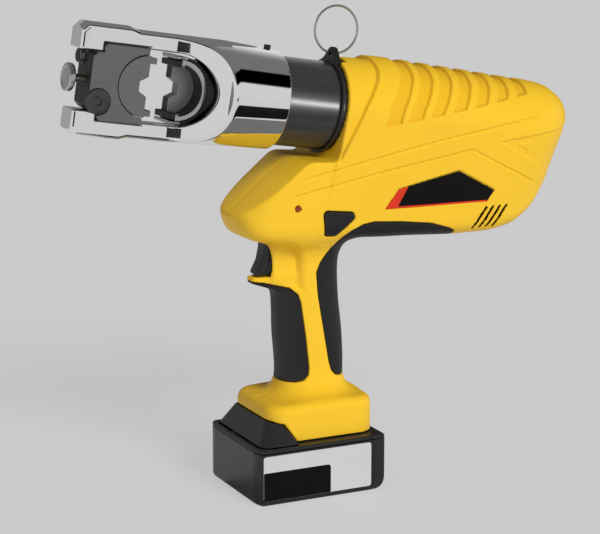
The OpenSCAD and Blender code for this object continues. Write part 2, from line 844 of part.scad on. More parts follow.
module battery_plates() {
  color("silver") difference() {
    for (side = [-1, 1]) translate([plate_x0 + 0.1, side > 0 ? batt_w / 2 - label_t : -batt_w / 2, 4.1])
      cube([plate_x1 - plate_x0 - 0.2, label_t, case_top - 6.2]);
    for (side = [-1, 1]) translate([plate_x0 - 1, side * batt_w / 2 - 5, 3])
      cube([insert_l + 1.2, 10, insert_h + 1.2]);
  }
}

module battery_plate_inserts() {
  color("black") for (side = [-1, 1])
    translate([plate_x0 + 0.1, side > 0 ? batt_w / 2 - label_t : -batt_w / 2, 4.1])
      cube([insert_l, label_t, insert_h]);
}

module battery_lid() {
  head_x1 = 44;
  color("dimgray") difference() {
    union() {
      translate([0, 0, case_top]) linear_extrude(height = batt_h - case_top)
        polygon(round_rect(-batt_l / 2, batt_l / 2, batt_w / 2, batt_r));
      translate([-19, -27.8, batt_h - 1]) cube([head_x1 + 19, 55.6, 12]);
      translate([-19, -32.4, foot_z0 + 5.4]) cube([head_x1 + 19, 64.8, 11]);
    }
    translate([latch_x0 - 0.6, -latch_w - 0.6, latch_z0 - latch_travel - 0.4])
      cube([-19.5 - latch_x0 + 0.6, 2 * latch_w + 1.2, 20]);
    for (side = [-1, 1]) translate([5, side * 10 - 2, foot_z0 + 9]) cube([head_x1, 4, 20]);
    translate([-19.5, -28, foot_z0 - 0.6]) cube([0.6, 56, 30]);
  }
}

module battery_cells() {
  pitch_x = cell_d + cell_gap;
  color("steelblue") for (i = [-2:2], k = [0, 1])
    translate([i * pitch_x, 0, batt_wall + cell_gap + cell_d / 2 + k * (cell_d + cell_gap)])
      cross_bar(-cell_l / 2, cell_l / 2, cell_d / 2);
}

module battery_terminals() {
  color("gold") for (side = [-1, 1]) translate([6, side * 10 - 1.9, foot_z0 + 9.1]) difference() {
    cube([15, 3.8, 6]);
    translate([3, 1.2, -1]) cube([13, 1.4, 8]);
  }
}

latch_outline = [
  [-60, latch_z0], [-60, catch_z], [-40.5, catch_z], [-29.2, catch_z - 2.6], [-20.3, foot_z0 + 1.6],
  [-20.3, latch_z0]
];
latch_rise = catch_z - latch_z0;
module latch_slab(z, inset) {
  translate([0, 0, z]) linear_extrude(height = 0.2)
    polygon(round_rect(latch_x0 + inset, 20, latch_w - inset, latch_r));
}
module battery_latch() {
  color("dimgray") difference() {
    intersection() {
      side_prism(latch_outline, -60, 60);
      hull() {
        latch_slab(latch_z0, 0);
        latch_slab(catch_z, 0.58 * latch_rise);
      }
    }
    for (side = [-1, 1]) translate([latch_spring_x, side * 20, latch_z0 - 1]) cylinder(h = 11, r = 4.6);
  }
}

module latch_spring() {
  base = latch_z0 - latch_travel - 0.4;
  color("gray") for (side = [-1, 1]) translate([latch_spring_x, side * 20, base + 0.05])
    coil(3.4, 0.9, latch_z0 + 9.9 - base, 4);
}

left_housing();
right_housing();
front_grip();
rear_grip();
housing_screws();
indicator_lens();
side_plates();
plate_accents();
lanyard_collar();
swivel_ring();
pump_block();
oil_bladder();
motor_can();
gearbox_case();
control_board();
trigger_switch();
terminal_block();
trigger_spring();
button_spring();
plunger_spring();
hydraulic_cylinder();
yoke();
yoke_set_screw();
rod_gland();
return_spring();
ram();
piston_seal();
inner_die();
gate();
gate_stop_screw();
pin_bush();
outer_die();
pin_spring();
pull_pin();
trigger();
release_button();
lanyard_ring();
motor_rotor();
eccentric_shaft();
pump_plunger();
battery_case();
battery_lid();
battery_cells();
battery_terminals();
battery_plates();
battery_plate_inserts();
battery_latch();
latch_spring();
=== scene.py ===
"""Looks of a battery hydraulic crimping tool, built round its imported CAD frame."""

import json
import math

import bmesh
import bpy
import numpy as np
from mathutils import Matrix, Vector


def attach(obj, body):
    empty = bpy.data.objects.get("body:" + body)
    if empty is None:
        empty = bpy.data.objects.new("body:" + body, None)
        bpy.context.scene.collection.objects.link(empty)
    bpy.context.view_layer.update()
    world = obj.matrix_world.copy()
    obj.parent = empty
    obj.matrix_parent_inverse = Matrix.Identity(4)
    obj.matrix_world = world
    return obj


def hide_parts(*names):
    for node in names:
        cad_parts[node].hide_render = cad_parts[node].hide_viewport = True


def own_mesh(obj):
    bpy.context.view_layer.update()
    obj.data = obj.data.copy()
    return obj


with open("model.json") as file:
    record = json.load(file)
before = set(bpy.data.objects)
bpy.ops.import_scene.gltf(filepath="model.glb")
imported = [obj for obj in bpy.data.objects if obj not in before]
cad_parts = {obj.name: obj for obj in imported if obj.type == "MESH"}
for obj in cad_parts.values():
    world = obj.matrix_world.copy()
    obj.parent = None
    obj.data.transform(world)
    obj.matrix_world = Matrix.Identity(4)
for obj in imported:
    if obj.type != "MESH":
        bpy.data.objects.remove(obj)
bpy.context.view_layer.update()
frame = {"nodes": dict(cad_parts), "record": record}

MM = 0.001

# Barrel line: where its datum lies in the row frame, and its head-up tip
AXIS_X = 6.3
AXIS_Z = 304.5
PITCH = math.radians(9.2)

# Housing stations along the barrel: place, radius, centre height, lower edge, lower half width
BODY = [
    (17, 41.4, 0, -100, 34),
    (52, 42.8, 0, -97.5, 34),
    (60, 42.9, 0, -97, 34),
    (95, 41.9, 0.3, -93.3, 33),
    (150, 39.7, 0.9, -87.3, 31.5),
    (178, 38.4, 1.3, -82, 29.5),
    (197, 37.6, 1.5, -73.5, 27),
    (212, 33.5, 3.5, -57, 23),
    (223, 26, 6, -30, 19),
    (231, 17.5, 9.5, -6, 12),
]
KEEL_R = 14
TAIL_END = 233
# Front rim: its place, and the notch over the top that makes room for the strap lug
FRONT_RIM = 16.5
NOTCH_BACK = 21.6
NOTCH_HALF = 10.6
NOTCH_LOW = 20

# Chin: front, half width at the foot of its sides, their lean, and the round of its front corners in plan
CHIN_FRONT = -54.2
CHIN_HALF = 34
CHIN_LEAN = 0.055
CHIN_ROUND = 30
# Slope of the chin's front face, its upper end, and how far its middle stands before its sides
SLOPE = 1.115
SLOPE_TOP = (-7.1, -38.2)
CROWN = 4.2
CHIN_TOP = [(-60, -38.4), (17, -38.8), (50, -30)]
CHIN_LOW = [
    (-50, -100), (-43, -105.5), (-36, -107.6), (-28, -108.5), (-8, -107), (17, -101.6), (32, -98), (50, -90),
]
# Height from which the chin's sides lean, its end inside the housing, and how its sides draw in before that
CHIN_LEAN_FROM = -86
CHIN_END = 50
CHIN_DRAW = 6
CHIN_DRAW_START = 12
CHIN_DRAW_STOP = 48
CHIN_PLAN_END = 120

# Grip stations: height, centre, half depth, half width
GRIP = [
    (70, 10.5, 27.2, 20.6),
    (84, 10, 27.2, 20.6),
    (100, 10, 27.6, 20),
    (124, 8.4, 28, 20),
    (150, 6.6, 27, 19.4),
    (174, 5, 27.6, 19.4),
    (190, 5.5, 28, 20),
    (250, 7, 29, 21),
]
GRIP_POWER = 2.5
GRIP_TOP = 232
GRIP_LOW = 70

# Foot over the battery: its ends, half width, corners, and a top that falls away from its middle
FOOT_FRONT = -40
FOOT_REAR = 52
FOOT_HALF = 39
FOOT_CORNER = 16.5
FOOT_TOP = 78
FOOT_FALL = 0.07
FOOT_MID = 8
FOOT_LOW = 46

# Lip under the trigger: places and radii of its tip and root, and its half widths there
LIP_TIP = (-38.3, 169)
LIP_TIP_R = 2.9
LIP_ROOT = (-10, 165)
LIP_ROOT_R = 8
LIP_SPAN = [-40, -10]
LIP_HALVES = [7, 13]

# Outlines of the soft grips, label and button as seen from the side
FRONT_GRIP = [
    (-60, 170.5), (-33, 167.4), (-13, 162.5), (-7.5, 157.6), (-5.2, 150.8), (-1.5, 123.5), (1.4, 97.6),
    (0.6, 92), (-3, 88.4), (-9, 87.2), (-60, 87.2),
]
REAR_GRIP = [
    (126, 199), (120, 201.8), (103, 207.3), (76, 211), (51, 213.2), (42, 212), (32, 207.5), (25, 202),
    (11, 181.5), (8, 174), (9.5, 156), (15.2, 122), (19, 101.3), (21.2, 94.2), (25, 90), (30, 88.6),
    (60, 88.6), (70, 150), (126, 170),
]
LABEL = [(60, 222.8), (71, 238), (125, 248.6), (159.6, 229.9), (153, 221.6)]
LABEL_DARK = [(79, 239.4), (124.6, 248.2), (158.9, 229.8), (153.6, 222.1), (70.6, 224)]
LABEL_RED = [(60, 222.8), (71, 237.8), (79.6, 239.4), (71.2, 223.9)]
LABEL_LINE = [(60.4, 222.7), (71.4, 224.2), (153.8, 222.3), (153.3, 220.9)]
KEY_CORE = [(9.6, 222.2), (29.6, 219.8), (30.2, 218.6), (17.4, 207.6), (10.8, 208.4)]
KEY_R = 3
# Thickness of the soft skins and labels, and the room that their pockets leave below and round them
SKIN_T = 2.4
SKIN_BED = 0.3
SKIN_GAP = 0.35
LABEL_T = 0.8
LABEL_BED = 0.1
LABEL_GAP = 0.3


def smooth_min(a, b, k):
    """Union of two distances with a fillet about k wide."""
    h = np.maximum(k - np.abs(a - b), 0) / k
    return np.minimum(a, b) - h * h * k / 4


def smooth_max(a, b, k):
    """Intersection of two distances with a rounded edge about k wide."""
    return -smooth_min(-a, -b, k)


def ramp(a, b, x):
    """Smooth step from 0 at a to 1 at b."""
    u = np.clip((x - a) / (b - a), 0, 1)
    return u * u * (3 - 2 * u)


def curve(stations, column):
    """Smooth curve through one column of a station table."""
    xs = np.array([row[0] for row in stations], float)
    ys = np.array([row[column] for row in stations], float)
    slopes = np.gradient(ys, xs)
    dense = np.linspace(xs[0], xs[-1], 600)
    i = np.clip(np.searchsorted(xs, dense) - 1, 0, len(xs) - 2)
    h = xs[i + 1] - xs[i]
    u = (dense - xs[i]) / h
    value = (
        ys[i] * (1 + 2 * u) * (1 - u) ** 2
        + slopes[i] * h * u * (1 - u) ** 2
        + ys[i + 1] * u * u * (3 - 2 * u)
        + slopes[i + 1] * h * u * u * (u - 1)
    )
    return lambda q: np.interp(q, dense, value)


def polygon(points, x, z):
    """Signed distance to a closed outline in a plane, negative inside."""
    points = [np.array(p, float) for p in points]
    best = np.full(np.broadcast(x, z).shape, 1e9)
    inside = np.zeros(best.shape, bool)
    for a, b in zip(points, points[1:] + points[:1]):
        e = b - a
        wx, wz = x - a[0], z - a[1]
        f = np.clip((wx * e[0] + wz * e[1]) / (e @ e), 0, 1)
        best = np.minimum(best, (wx - f * e[0]) ** 2 + (wz - f * e[1]) ** 2)
        crosses = ((a[1] <= z) != (b[1] <= z)) & (
            (wx - wz * e[0] / (e[1] if e[1] else 1e-9)) < 0
        )
        inside ^= crosses
    return np.where(inside, -1, 1) * np.sqrt(best)


def line(points, x, z):
    """Distance to an open line in a plane."""
    best = 1e9
    for a, b in zip(points, points[1:]):
        ex, ez = b[0] - a[0], b[1] - a[1]
        f = np.clip(((x - a[0]) * ex + (z - a[1]) * ez) / (ex * ex + ez * ez), 0, 1)
        best = np.minimum(best, np.hypot(x - a[0] - f * ex, z - a[1] - f * ez))
    return best


def capsule(u, v, a, ra, b, rb):
    """Distance to the hull of two circles in a plane. All may be arrays."""
    ux, uz = b[0] - a[0], b[1] - a[1]
    length = np.sqrt(ux * ux + uz * uz)
    ux, uz = ux / length, uz / length
    along = (u - a[0]) * ux + (v - a[1]) * uz
    across = np.abs((u - a[0]) * uz - (v - a[1]) * ux)
    lean = np.clip((ra - rb) / length, -0.99, 0.99)
    flat = np.sqrt(1 - lean * lean)
    k = flat * along - lean * across
    start = np.hypot(along, across) - ra
    end = np.hypot(along - length, across) - rb
    side = flat * across + lean * along - ra
    return np.where(k < 0, start, np.where(k > flat * length, end, side))


def rounded_box(x, y, x0, x1, half, r):
    """Distance to a rounded rectangle that spans x0 to x1 and -half to half."""
    qx = np.abs(x - (x0 + x1) / 2) - (x1 - x0) / 2 + r
    qy = np.abs(y) - half + r
    return np.hypot(np.maximum(qx, 0), np.maximum(qy, 0)) + np.minimum(np.maximum(qx, qy), 0) - r


def to_barrel(x, z):
    """Row frame to the barrel's own frame: along the barrel, and above its line."""
    dx, dz = x - AXIS_X, z - AXIS_Z
    return (
        dx * math.cos(PITCH) - dz * math.sin(PITCH),
        dx * math.sin(PITCH) + dz * math.cos(PITCH),
    )


BODY_CURVES = [curve(BODY, i) for i in range(1, 5)]
CHIN_EDGES = [curve(CHIN_TOP, 1), curve(CHIN_LOW, 1)]
GRIP_CURVES = [curve(GRIP, i) for i in range(1, 4)]


def rim_form(s, y, t):
    """How far a place lies before the housing's front rim."""
    notch = np.minimum(np.minimum(NOTCH_BACK - s, NOTCH_HALF - np.abs(y)), t - NOTCH_LOW)
    return np.maximum(FRONT_RIM - s, notch)


def body_form(s, y, t):
    """Barrel half and keel of the housing."""
    r, mid, low, wide = (f(s) for f in BODY_CURVES)
    keel = np.minimum(KEEL_R, wide - 1)
    side = capsule(np.abs(y), t, (0 * s, mid), r, (wide - keel, low + keel), keel)
    floor = np.maximum(np.abs(y) - wide + keel, np.maximum(low - t, t - mid))
    d = np.minimum(side, floor)
    d = smooth_max(d, s - TAIL_END, 9)
    return smooth_max(d, rim_form(s, y, t), 2)


def chin_form(s, y, t):
    """Chin under the cylinder: a block rounded in plan, with a sloping and slightly crowned front face."""
    top, low = (f(s) for f in CHIN_EDGES)
    lean = CHIN_LEAN * np.maximum(t - CHIN_LEAN_FROM, 0)
    wide = np.abs(y) - lean + CHIN_DRAW * ramp(CHIN_DRAW_START, CHIN_DRAW_STOP, s)
    plan = rounded_box(s, wide, CHIN_FRONT, CHIN_PLAN_END, CHIN_HALF, CHIN_ROUND)
    back = CROWN * (y / CHIN_HALF) ** 2
    front = (t - SLOPE_TOP[1] - SLOPE * (s - SLOPE_TOP[0] - back)) / math.hypot(1, SLOPE)
    d = smooth_max(plan, smooth_max(front, t - top, 5), 2.4)
    d = smooth_max(d, low - t, 16)
    return np.maximum(d, s - CHIN_END)


def grip_form(x, y, z):
    """Handle: a soft oval section."""
    mid, deep, wide = (f(z) for f in GRIP_CURVES)
    n = GRIP_POWER
    u = np.maximum(np.abs(x - mid) / deep, 1e-4)
    v = np.maximum(np.abs(y) / wide, 1e-4)
    f = (u**n + v**n) ** (1 / n)
    slope = f ** (1 - n) * np.hypot(u ** (n - 1) / deep, v ** (n - 1) / wide)
    d = (f - 1) / slope
    return np.maximum(smooth_max(d, z - GRIP_TOP, 24), GRIP_LOW - z)


def foot_form(x, y, z):
    """Foot over the battery."""
    d = rounded_box(x, y, FOOT_FRONT, FOOT_REAR, FOOT_HALF, FOOT_CORNER)
    dome = FOOT_TOP - FOOT_FALL * np.hypot(x - FOOT_MID, y)
    d = smooth_max(d, z - dome, 8)
    return np.maximum(d, FOOT_LOW - z)


def lip_form(x, y, z):
    """Lip under the trigger."""
    d = capsule(x, z, LIP_TIP, LIP_TIP_R, LIP_ROOT, LIP_ROOT_R)
    half = np.interp(x, LIP_SPAN, LIP_HALVES)
    return smooth_max(d, np.abs(y) - half, 4)


# Moulded lines of the housing's sides in the barrel frame: along the barrel, above its line
FRONT_EDGE_T = [-36, -22, -8.6, 6, 17.7, 25, 31, 36, 43]
FRONT_EDGE_S = [20, 24.7, 29, 33.6, 39.3, 43.4, 46, 46.6, 46]
UPPER_LINE = [(-8, -55.6), (7.4, -49.7), (43.6, -35.4), (99.2, -15.8), (157.6, 2.8), (191.8, 13.2)]
LOWER_LINE = [(-12, -68.7), (8.7, -61.1), (59.9, -42.5), (134.3, -18.8), (165.9, -29.1), (200.6, -40)]
TAIL_ARROW = [(236, 10.2), (159.2, -10.5), (236, -37.5)]
SMALL_ARROW = [(193, -4.3), (175.3, -10.5), (188.5, -16.9)]
# Depth of the sweep behind the front rim, and how much deeper it gets towards its edge
SWEEP_DEPTH = 2.8
SWEEP_DIP = 0.6
SWEEP_DIP_START = -7
# Heights between which the sweep comes in, and half the width over which moulded edges fall off
SWEEP_LOW = -42
SWEEP_FULL = -30
SOFT_EDGE = 0.7
# Sunk bands: depth, first place, pitch, count, first width and how it shrinks, and their lean by height
RIB_DEPTH = 2.6
RIB_FIRST = 66
RIB_PITCH = 18.4
RIB_COUNT = 7
RIB_WIDTH = 11.6
RIB_SHRINK = 0.45
RIB_LEAN_T = [-7, 7, 14, 22, 31, 39]
RIB_LEAN_S = [13.5, 11.3, 8.2, 5, 1.1, 0]
# Slanting line at which the bands end
RIB_END = (52, -8)
RIB_END_SLOPE = 0.285
# Fine lines and the tail's arrow: depth and half width, then the small arrow's height, foot and ridge
LINE_DEPTH = 0.9
LINE_HALF = 1.3
ARROW_HEIGHT = 0.7
ARROW_FOOT = 0.5
ARROW_RIDGE = -2.2
VENT_FIRST = (147.7, 207.9)
VENT_PITCH = 6.45
VENT_LEAN = math.radians(34)
VENT_HALF = 9.6
VENT_COUNT = 4
VENT_SLIT = 1.1
VENT_DEPTH = 7
SCREWS = [(-28, 228, 16), (46, 226, 24), (3, 150, 11), (8.5, 104, 11), (203, 257, 20), (178, 218, 16)]
SCREW_R = 3.8
LENS = (-15.5, 229)
LENS_R = 2.6
LENS_IN = 20
# Half the gap between the housing's halves
PARTING = 0.12
# Button: how far in its pocket goes, the gap round it, how proud it stands, and its back
KEY_IN = 23
KEY_GAP = 0.5
KEY_PROUD = 0.7
KEY_BACK = -26
# Cheeks beside the trigger: their front and rear, half width, corners, and lower and upper end
CHEEK_X = -26.2
CHEEK_REAR = 6
CHEEK_HALF = 11.6
CHEEK_CORNER = 2.6
CHEEK_LOW = 167
CHEEK_TOP = 212
# Hollows beside the trigger's root: their rear, lower end and inner face
HOLLOW_REAR = -6
HOLLOW_LOW = 164
HOLLOW_Y = 11.5


def plain_form(x, y, z):
    """Outer form of the housing before its moulded details."""
    s, t = to_barrel(x, z)
    d = smooth_min(body_form(s, y, t), chin_form(s, y, t), 4)
    handle = grip_form(x, y, z)
    aside = np.maximum(np.maximum(x - HOLLOW_REAR, HOLLOW_LOW - z), HOLLOW_Y - np.abs(y))
    handle = smooth_max(handle, -aside, 7)
    cheek = rounded_box(x, y, CHEEK_X, CHEEK_REAR, CHEEK_HALF, CHEEK_CORNER)
    cheek = smooth_max(cheek, np.maximum(CHEEK_LOW - z, z - CHEEK_TOP), 3)
    d = smooth_min(d, handle, 22)
    d = smooth_min(d, cheek, 5)
    d = smooth_min(d, foot_form(x, y, z), 17)
    return smooth_min(d, lip_form(x, y, z), 5)


def moulding(x, y, z):
    """Depth that the moulded details sink into the form, zero on the plain surface."""
    s, t = to_barrel(x, z)
    past = s - np.interp(t, FRONT_EDGE_T, FRONT_EDGE_S)
    deep = SWEEP_DEPTH + SWEEP_DIP * ramp(SWEEP_DIP_START, 0, past)
    sink = deep * ramp(SOFT_EDGE, -SOFT_EDGE, past) * ramp(SWEEP_LOW, SWEEP_FULL, t)
    return sink + RIB_DEPTH * ribs(s, t) + lines(s, t)


def ribs(s, t):
    """One inside the sunk bands across the back of the housing, zero outside."""
    sunk = 0 * s
    lean = np.interp(t, RIB_LEAN_T, RIB_LEAN_S)
    above = t - RIB_END[1] - (s - RIB_END[0]) * RIB_END_SLOPE
    for i in range(RIB_COUNT):
        width = RIB_WIDTH - RIB_SHRINK * i
        off = np.abs(s + lean - RIB_FIRST - RIB_PITCH * i - width / 2) - width / 2
        sunk = sunk + ramp(SOFT_EDGE, -SOFT_EDGE, np.maximum(off, -above))
    return sunk


def lines(s, t):
    """Depth of the two long lines and the arrow on the tail."""
    arrow = LINE_DEPTH * ramp(SOFT_EDGE, -SOFT_EDGE, polygon(TAIL_ARROW, s, t))
    sink = arrow - ARROW_HEIGHT * ramp(ARROW_FOOT, ARROW_RIDGE, polygon(SMALL_ARROW, s, t))
    for points in (UPPER_LINE, LOWER_LINE):
        sink = sink + LINE_DEPTH * ramp(LINE_HALF, 0, line(points, s, t))
    return sink


def shell_form(x, y, z):
    """Outer form with its moulded details."""
    return plain_form(x, y, z) + moulding(x, y, z)


def vent_slits(x, z):
    """Distance to the cooling slits."""
    best = 1e9
    ax, az = math.sin(VENT_LEAN) * VENT_HALF, math.cos(VENT_LEAN) * VENT_HALF
    for i in range(VENT_COUNT):
        cx, cz = VENT_FIRST[0] + VENT_PITCH * i, VENT_FIRST[1]
        best = np.minimum(best, line([(cx - ax, cz - az), (cx + ax, cz + az)], x, z))
    return best - VENT_SLIT


def block(x, y, z, low, high):
    """Distance to a plain box."""
    parts = [np.maximum(a - q, q - b) for q, a, b in zip((x, y, z), low, high)]
    return np.maximum(np.maximum(parts[0], parts[1]), parts[2])


def bar(s, y, t, s0, s1, r):
    """Distance to a round bar along the barrel."""
    return np.maximum(np.hypot(y, t) - r, np.maximum(s0 - s, s - s1))


def room(x, y, z):
    """Hollow inside the housing, for what the CAD frame has in it."""
    s, t = to_barrel(x, z)
    spaces = [
        bar(s, y, t, -70, 46.5, 34.6),  # cylinder
        bar(s, y, t, 33.8, 37.2, 37.6),  # swivel ring
        bar(s, y, t, 46, 112, 36),  # pump
        bar(s, y, t, 111, 197, 33),  # gearbox and motor
        block(s, y, t, (60, -26, -68), (178, 26, 0)),  # oil bladder
        block(x, y, z, (-9.5, -11, 72), (-1.5, 11, 172)),  # control board
        block(x, y, z, (-12.2, -10.1, 171), (22.8, 10.1, 204)),  # trigger switch
        block(x, y, z, (-4, -14, 203), (24, 14, 240)),  # oil release
        block(x, y, z, (-70, -32.8, 42), (-10, 32.8, 62.8)),  # battery's way in
        block(x, y, z, (-19.5, -33, 43), (46, 33, 63.4)),  # battery rails
        block(x, y, z, (-18.5, -20.6, 56), (45.9, 20.6, 72)),  # terminal block
        block(x, y, z, (-70, -9, 171.8), (-12, 9, 201.6)),  # trigger
    ]
    d = np.inf
    for space in spaces:
        d = np.minimum(d, space)
    rails = block(x, np.abs(y), z, (-16.5, 28.25, 46), (46.5, 33.25, 51))
    return np.maximum(d, -rails)


def catch_cut(x, z):
    """Distance to the cut at the front of the foot where the battery catch rises."""
    return polygon([(-70, 40), (-70, 63.1), (-40, 63.1), (-28.4, 60.5), (-18.2, 45.6), (-18.2, 40)], x, z)


def inlay(outer, outline, depth, gap):
    """A pocket of that depth under an outline, a little wider than what lies in it."""
    return np.maximum(outline - gap, -outer - depth)


def housing(side):
    """Form of one housing half: -1 is the near one."""

    def form(x, y, z):
        outer = shell_form(x, y, z)
        plain = plain_form(x, y, z)
        d = smooth_max(outer, -catch_cut(x, z), 1.6)
        for outline in (FRONT_GRIP, REAR_GRIP):
            d = smooth_max(d, -inlay(plain, polygon(outline, x, z), SKIN_T + SKIN_BED, SKIN_GAP), 0.9)
        d = smooth_max(d, -inlay(plain, polygon(LABEL, x, z), LABEL_T + LABEL_BED, LABEL_GAP), 0.7)
        d = np.maximum(d, -np.maximum(vent_slits(x, z), -plain - VENT_DEPTH))
        d = np.maximum(d, -room(x, y, z))
        if side < 0:
            d = smooth_max(d, -np.maximum(key_outline(x, z) - KEY_GAP, y + KEY_IN), 1)
            d = np.maximum(d, -np.maximum(np.hypot(x - LENS[0], z - LENS[1]) - LENS_R, y + LENS_IN))
        else:
            for sx, sz, seat in SCREWS:
                d = smooth_max(d, -np.maximum(np.hypot(x - sx, z - sz) - SCREW_R, seat - y), 1)
        return smooth_max(d, -side * y + PARTING, 0.5)

    return form


def skin(points):
    """Form of a soft skin that lies in the housing's surface under an outline."""

    def form(x, y, z):
        outer = plain_form(x, y, z)
        d = smooth_max(outer, polygon(points, x, z), 1.3)
        return np.maximum(d, np.maximum(-outer - SKIN_T, -room(x, y, z)))

    return form


def shape(name, form, low, high, step, tipped=False):
    """An object in metres from a distance form in millimetres, in the barrel's own frame where tipped."""
    axes = [np.arange(a, b + step, step) for a, b in zip(low, high)]
    x, y, z = axes[0][:, None, None], axes[1][None, :, None], axes[2][None, None, :]
    size = [len(a) for a in axes]
    d = np.empty(size, np.float32)
    slab = 24
    for i in range(0, size[0], slab):
        d[i : i + slab] = form(x[i : i + slab], y, z)
    inside = d < 0
    corners = [(i, j, k) for i in (0, 1) for j in (0, 1) for k in (0, 1)]

    def corner(a, c):
        return a[tuple(slice(c[n], size[n] - 1 + c[n]) for n in range(3))]

    count = sum(corner(inside, c).astype(np.int8) for c in corners)
    active = (count > 0) & (count < 8)
    cells = np.argwhere(active)
    index = np.full(active.shape, -1, np.int64)
    index[active] = np.arange(len(cells))
    total = np.zeros((len(cells), 3))
    hits = np.zeros(len(cells))
    for c in corners:
        for n in range(3):
            if c[n] == 1:
                continue
            far = tuple(1 if m == n else c[m] for m in range(3))
            da = d[tuple((cells + c).T)]
            db = d[tuple((cells + far).T)]
            cross = (da < 0) != (db < 0)
            part = np.where(cross, da / np.where(cross, da - db, 1), 0)
            total[cross] += np.array(c)
            total[cross, n] += part[cross]
            hits += cross
    points = np.array([a[0] for a in axes]) + (cells + total / hits[:, None]) * step
    faces = []
    for n in range(3):
        u, v = (n + 1) % 3, (n + 2) % 3
        cut = [slice(1, -1)] * 3
        first, second = list(cut), list(cut)
        first[n], second[n] = slice(None, -1), slice(1, None)
        a, b = inside[tuple(first)], inside[tuple(second)]
        quad = []
        for du, dv in ((0, 0), (1, 0), (1, 1), (0, 1)):
            take = [slice(None)] * 3
            take[u] = slice(du, index.shape[u] - 1 + du)
            take[v] = slice(dv, index.shape[v] - 1 + dv)
            quad.append(index[tuple(take)])
        out, back = a & ~b, ~a & b
        faces.append(np.stack([q[out] for q in quad], 1))
        faces.append(np.stack([q[back] for q in quad[::-1]], 1))
    faces = np.concatenate(faces)

    def gradient(p, h=0.12):
        g = np.empty_like(p)
        for n in range(3):
            e = np.zeros(3)
            e[n] = h
            g[:, n] = (form(*(p + e).T) - form(*(p - e).T)) / (2 * h)
        return g

    for _ in range(2):
        g = gradient(points)
        length = np.maximum((g * g).sum(1), 0.05)
        move = np.clip(form(*points.T) / np.sqrt(length), -step, step)
        points = points - g * (move / np.sqrt(length))[:, None]
    normals = gradient(points)
    normals /= np.maximum(np.linalg.norm(normals, axis=1), 1e-6)[:, None]
    if tipped:
        c, s = math.cos(PITCH), math.sin(PITCH)
        turn = np.array([[c, 0, s], [0, 1, 0], [-s, 0, c]])
        points = points @ turn.T + (AXIS_X, 0, AXIS_Z)
        normals = normals @ turn.T
    return solid(name, points * MM, faces, normals)


def placed(name, data):
    """A new object in the scene."""
    thing = bpy.data.objects.new(name, data)
    bpy.context.scene.collection.objects.link(thing)
    return thing


def solid(name, points, faces, normals=None):
    """A mesh object from arrays of points and faces of four corners, with smooth normals where given."""
    mesh = bpy.data.meshes.new(name)
    mesh.vertices.add(len(points))
    mesh.vertices.foreach_set("co", np.asarray(points, np.float32).ravel())
    mesh.loops.add(faces.size)
    mesh.loops.foreach_set("vertex_index", faces.astype(np.int32).ravel())
    mesh.polygons.add(len(faces))
    mesh.polygons.foreach_set("loop_start", np.arange(0, faces.size, faces.shape[1], dtype=np.int32))
    mesh.polygons.foreach_set("use_smooth", np.ones(len(faces), bool))
    mesh.update(calc_edges=True)
    mesh.validate()
    if normals is not None:
        mesh.normals_split_custom_set_from_vertices(normals.tolist())
    return placed(name, mesh)


# Fork: outline that is turned about the barrel, half width of its arms, and their run-out into the sleeve
YOKE_PROFILE = [
    (-192, -5), (-192, 38), (-187.5, 42.5), (-153, 42.5), (-146.5, 40.6), (-74, 40.6), (-30.6, 38),
    (-30, 37.4), (-30, -5),
]
ARM_HALF = 11.5
RUNOUT_S = -118
RUNOUT_R = 43.4
# Slot of the fork: half heights and ends of its mouth and of its part for the gate, then its round end
MOUTH_HALF = 22.2
MOUTH_END = -138
WING_HALF = 28.7
WING_FRONT = -173.6
WING_END = -137.8
SLOT_FRONT = -138.4
SLOT_R = 27.2
SLOT_END = -112
# Bores of the fork for the ram's rod and the cylinder, and the set screw's hole
ROD_BORE_R = 22
ROD_BORE_END = -63
SLEEVE_BORE_R = 31.1
SLEEVE_BORE = (-64.8, -20)
SET_SCREW_S = -38
SET_SCREW_R = 2.7
SET_SCREW_LOW = 20
# Gate: half width, ends, and half heights of its tip and of its wings
GATE_HALF = 14.7
GATE_TIP = -182.2
GATE_WINGS = -173.4
GATE_END = -138.2
GATE_TIP_HALF = 22
GATE_WING_HALF = 28.5
GATE_CHAMFER = 200
# Round boss on the gate's end and pocket of the stop screw
BOSS = (9, 16.2)
BOSS_R = 5.4
BOSS_FRONT = -185.8
BOSS_END = -181
POCKET = (-174, -14.7)
POCKET_R = 9.8
POCKET_FLOOR = -11.9
# Pin: front of its bores, then ends and radii of the narrow and the wide one
PIN_FRONT = -190
PIN_BORES = [(-156, 3.2), (-165.9, 5.5)]
# Dies: centres along the barrel, radii of seat, outside and hollow, half width, and heights of their ears
INNER_S = -112
OUTER_S = -136.8
SEAT_R = 23.4
DIE_R = 23
DIE_HOLLOW_R = 19.2
DIE_HALF = 14.3
DIE_EAR = (17.2, 21.8)
# Face of the inner die's web across the width, and a face so far out that the outer die stays full
DIE_WEB = 3.8
FULL_WEB = -30
# Ears of a die along the barrel from its centre, and the six-sided form: its side, and flat over side
EAR_SPAN = (-5, 3)
SIX_SIDE = 7.4
SIX_FLAT = 0.866
# Ram: outer and inner radius of its cradle, height of its lips, and its rod, piston and seal groove
CRADLE_R = 25.4
CRADLE_SEAT_R = 23.1
CRADLE_LIP = 22.4
ROD_R = 20
ROD_SPAN = (-100, 6)
PISTON_R = 25.9
PISTON_SPAN = (5, 22)
GROOVE_R = 22.4
GROOVE_SPAN = (11, 16)


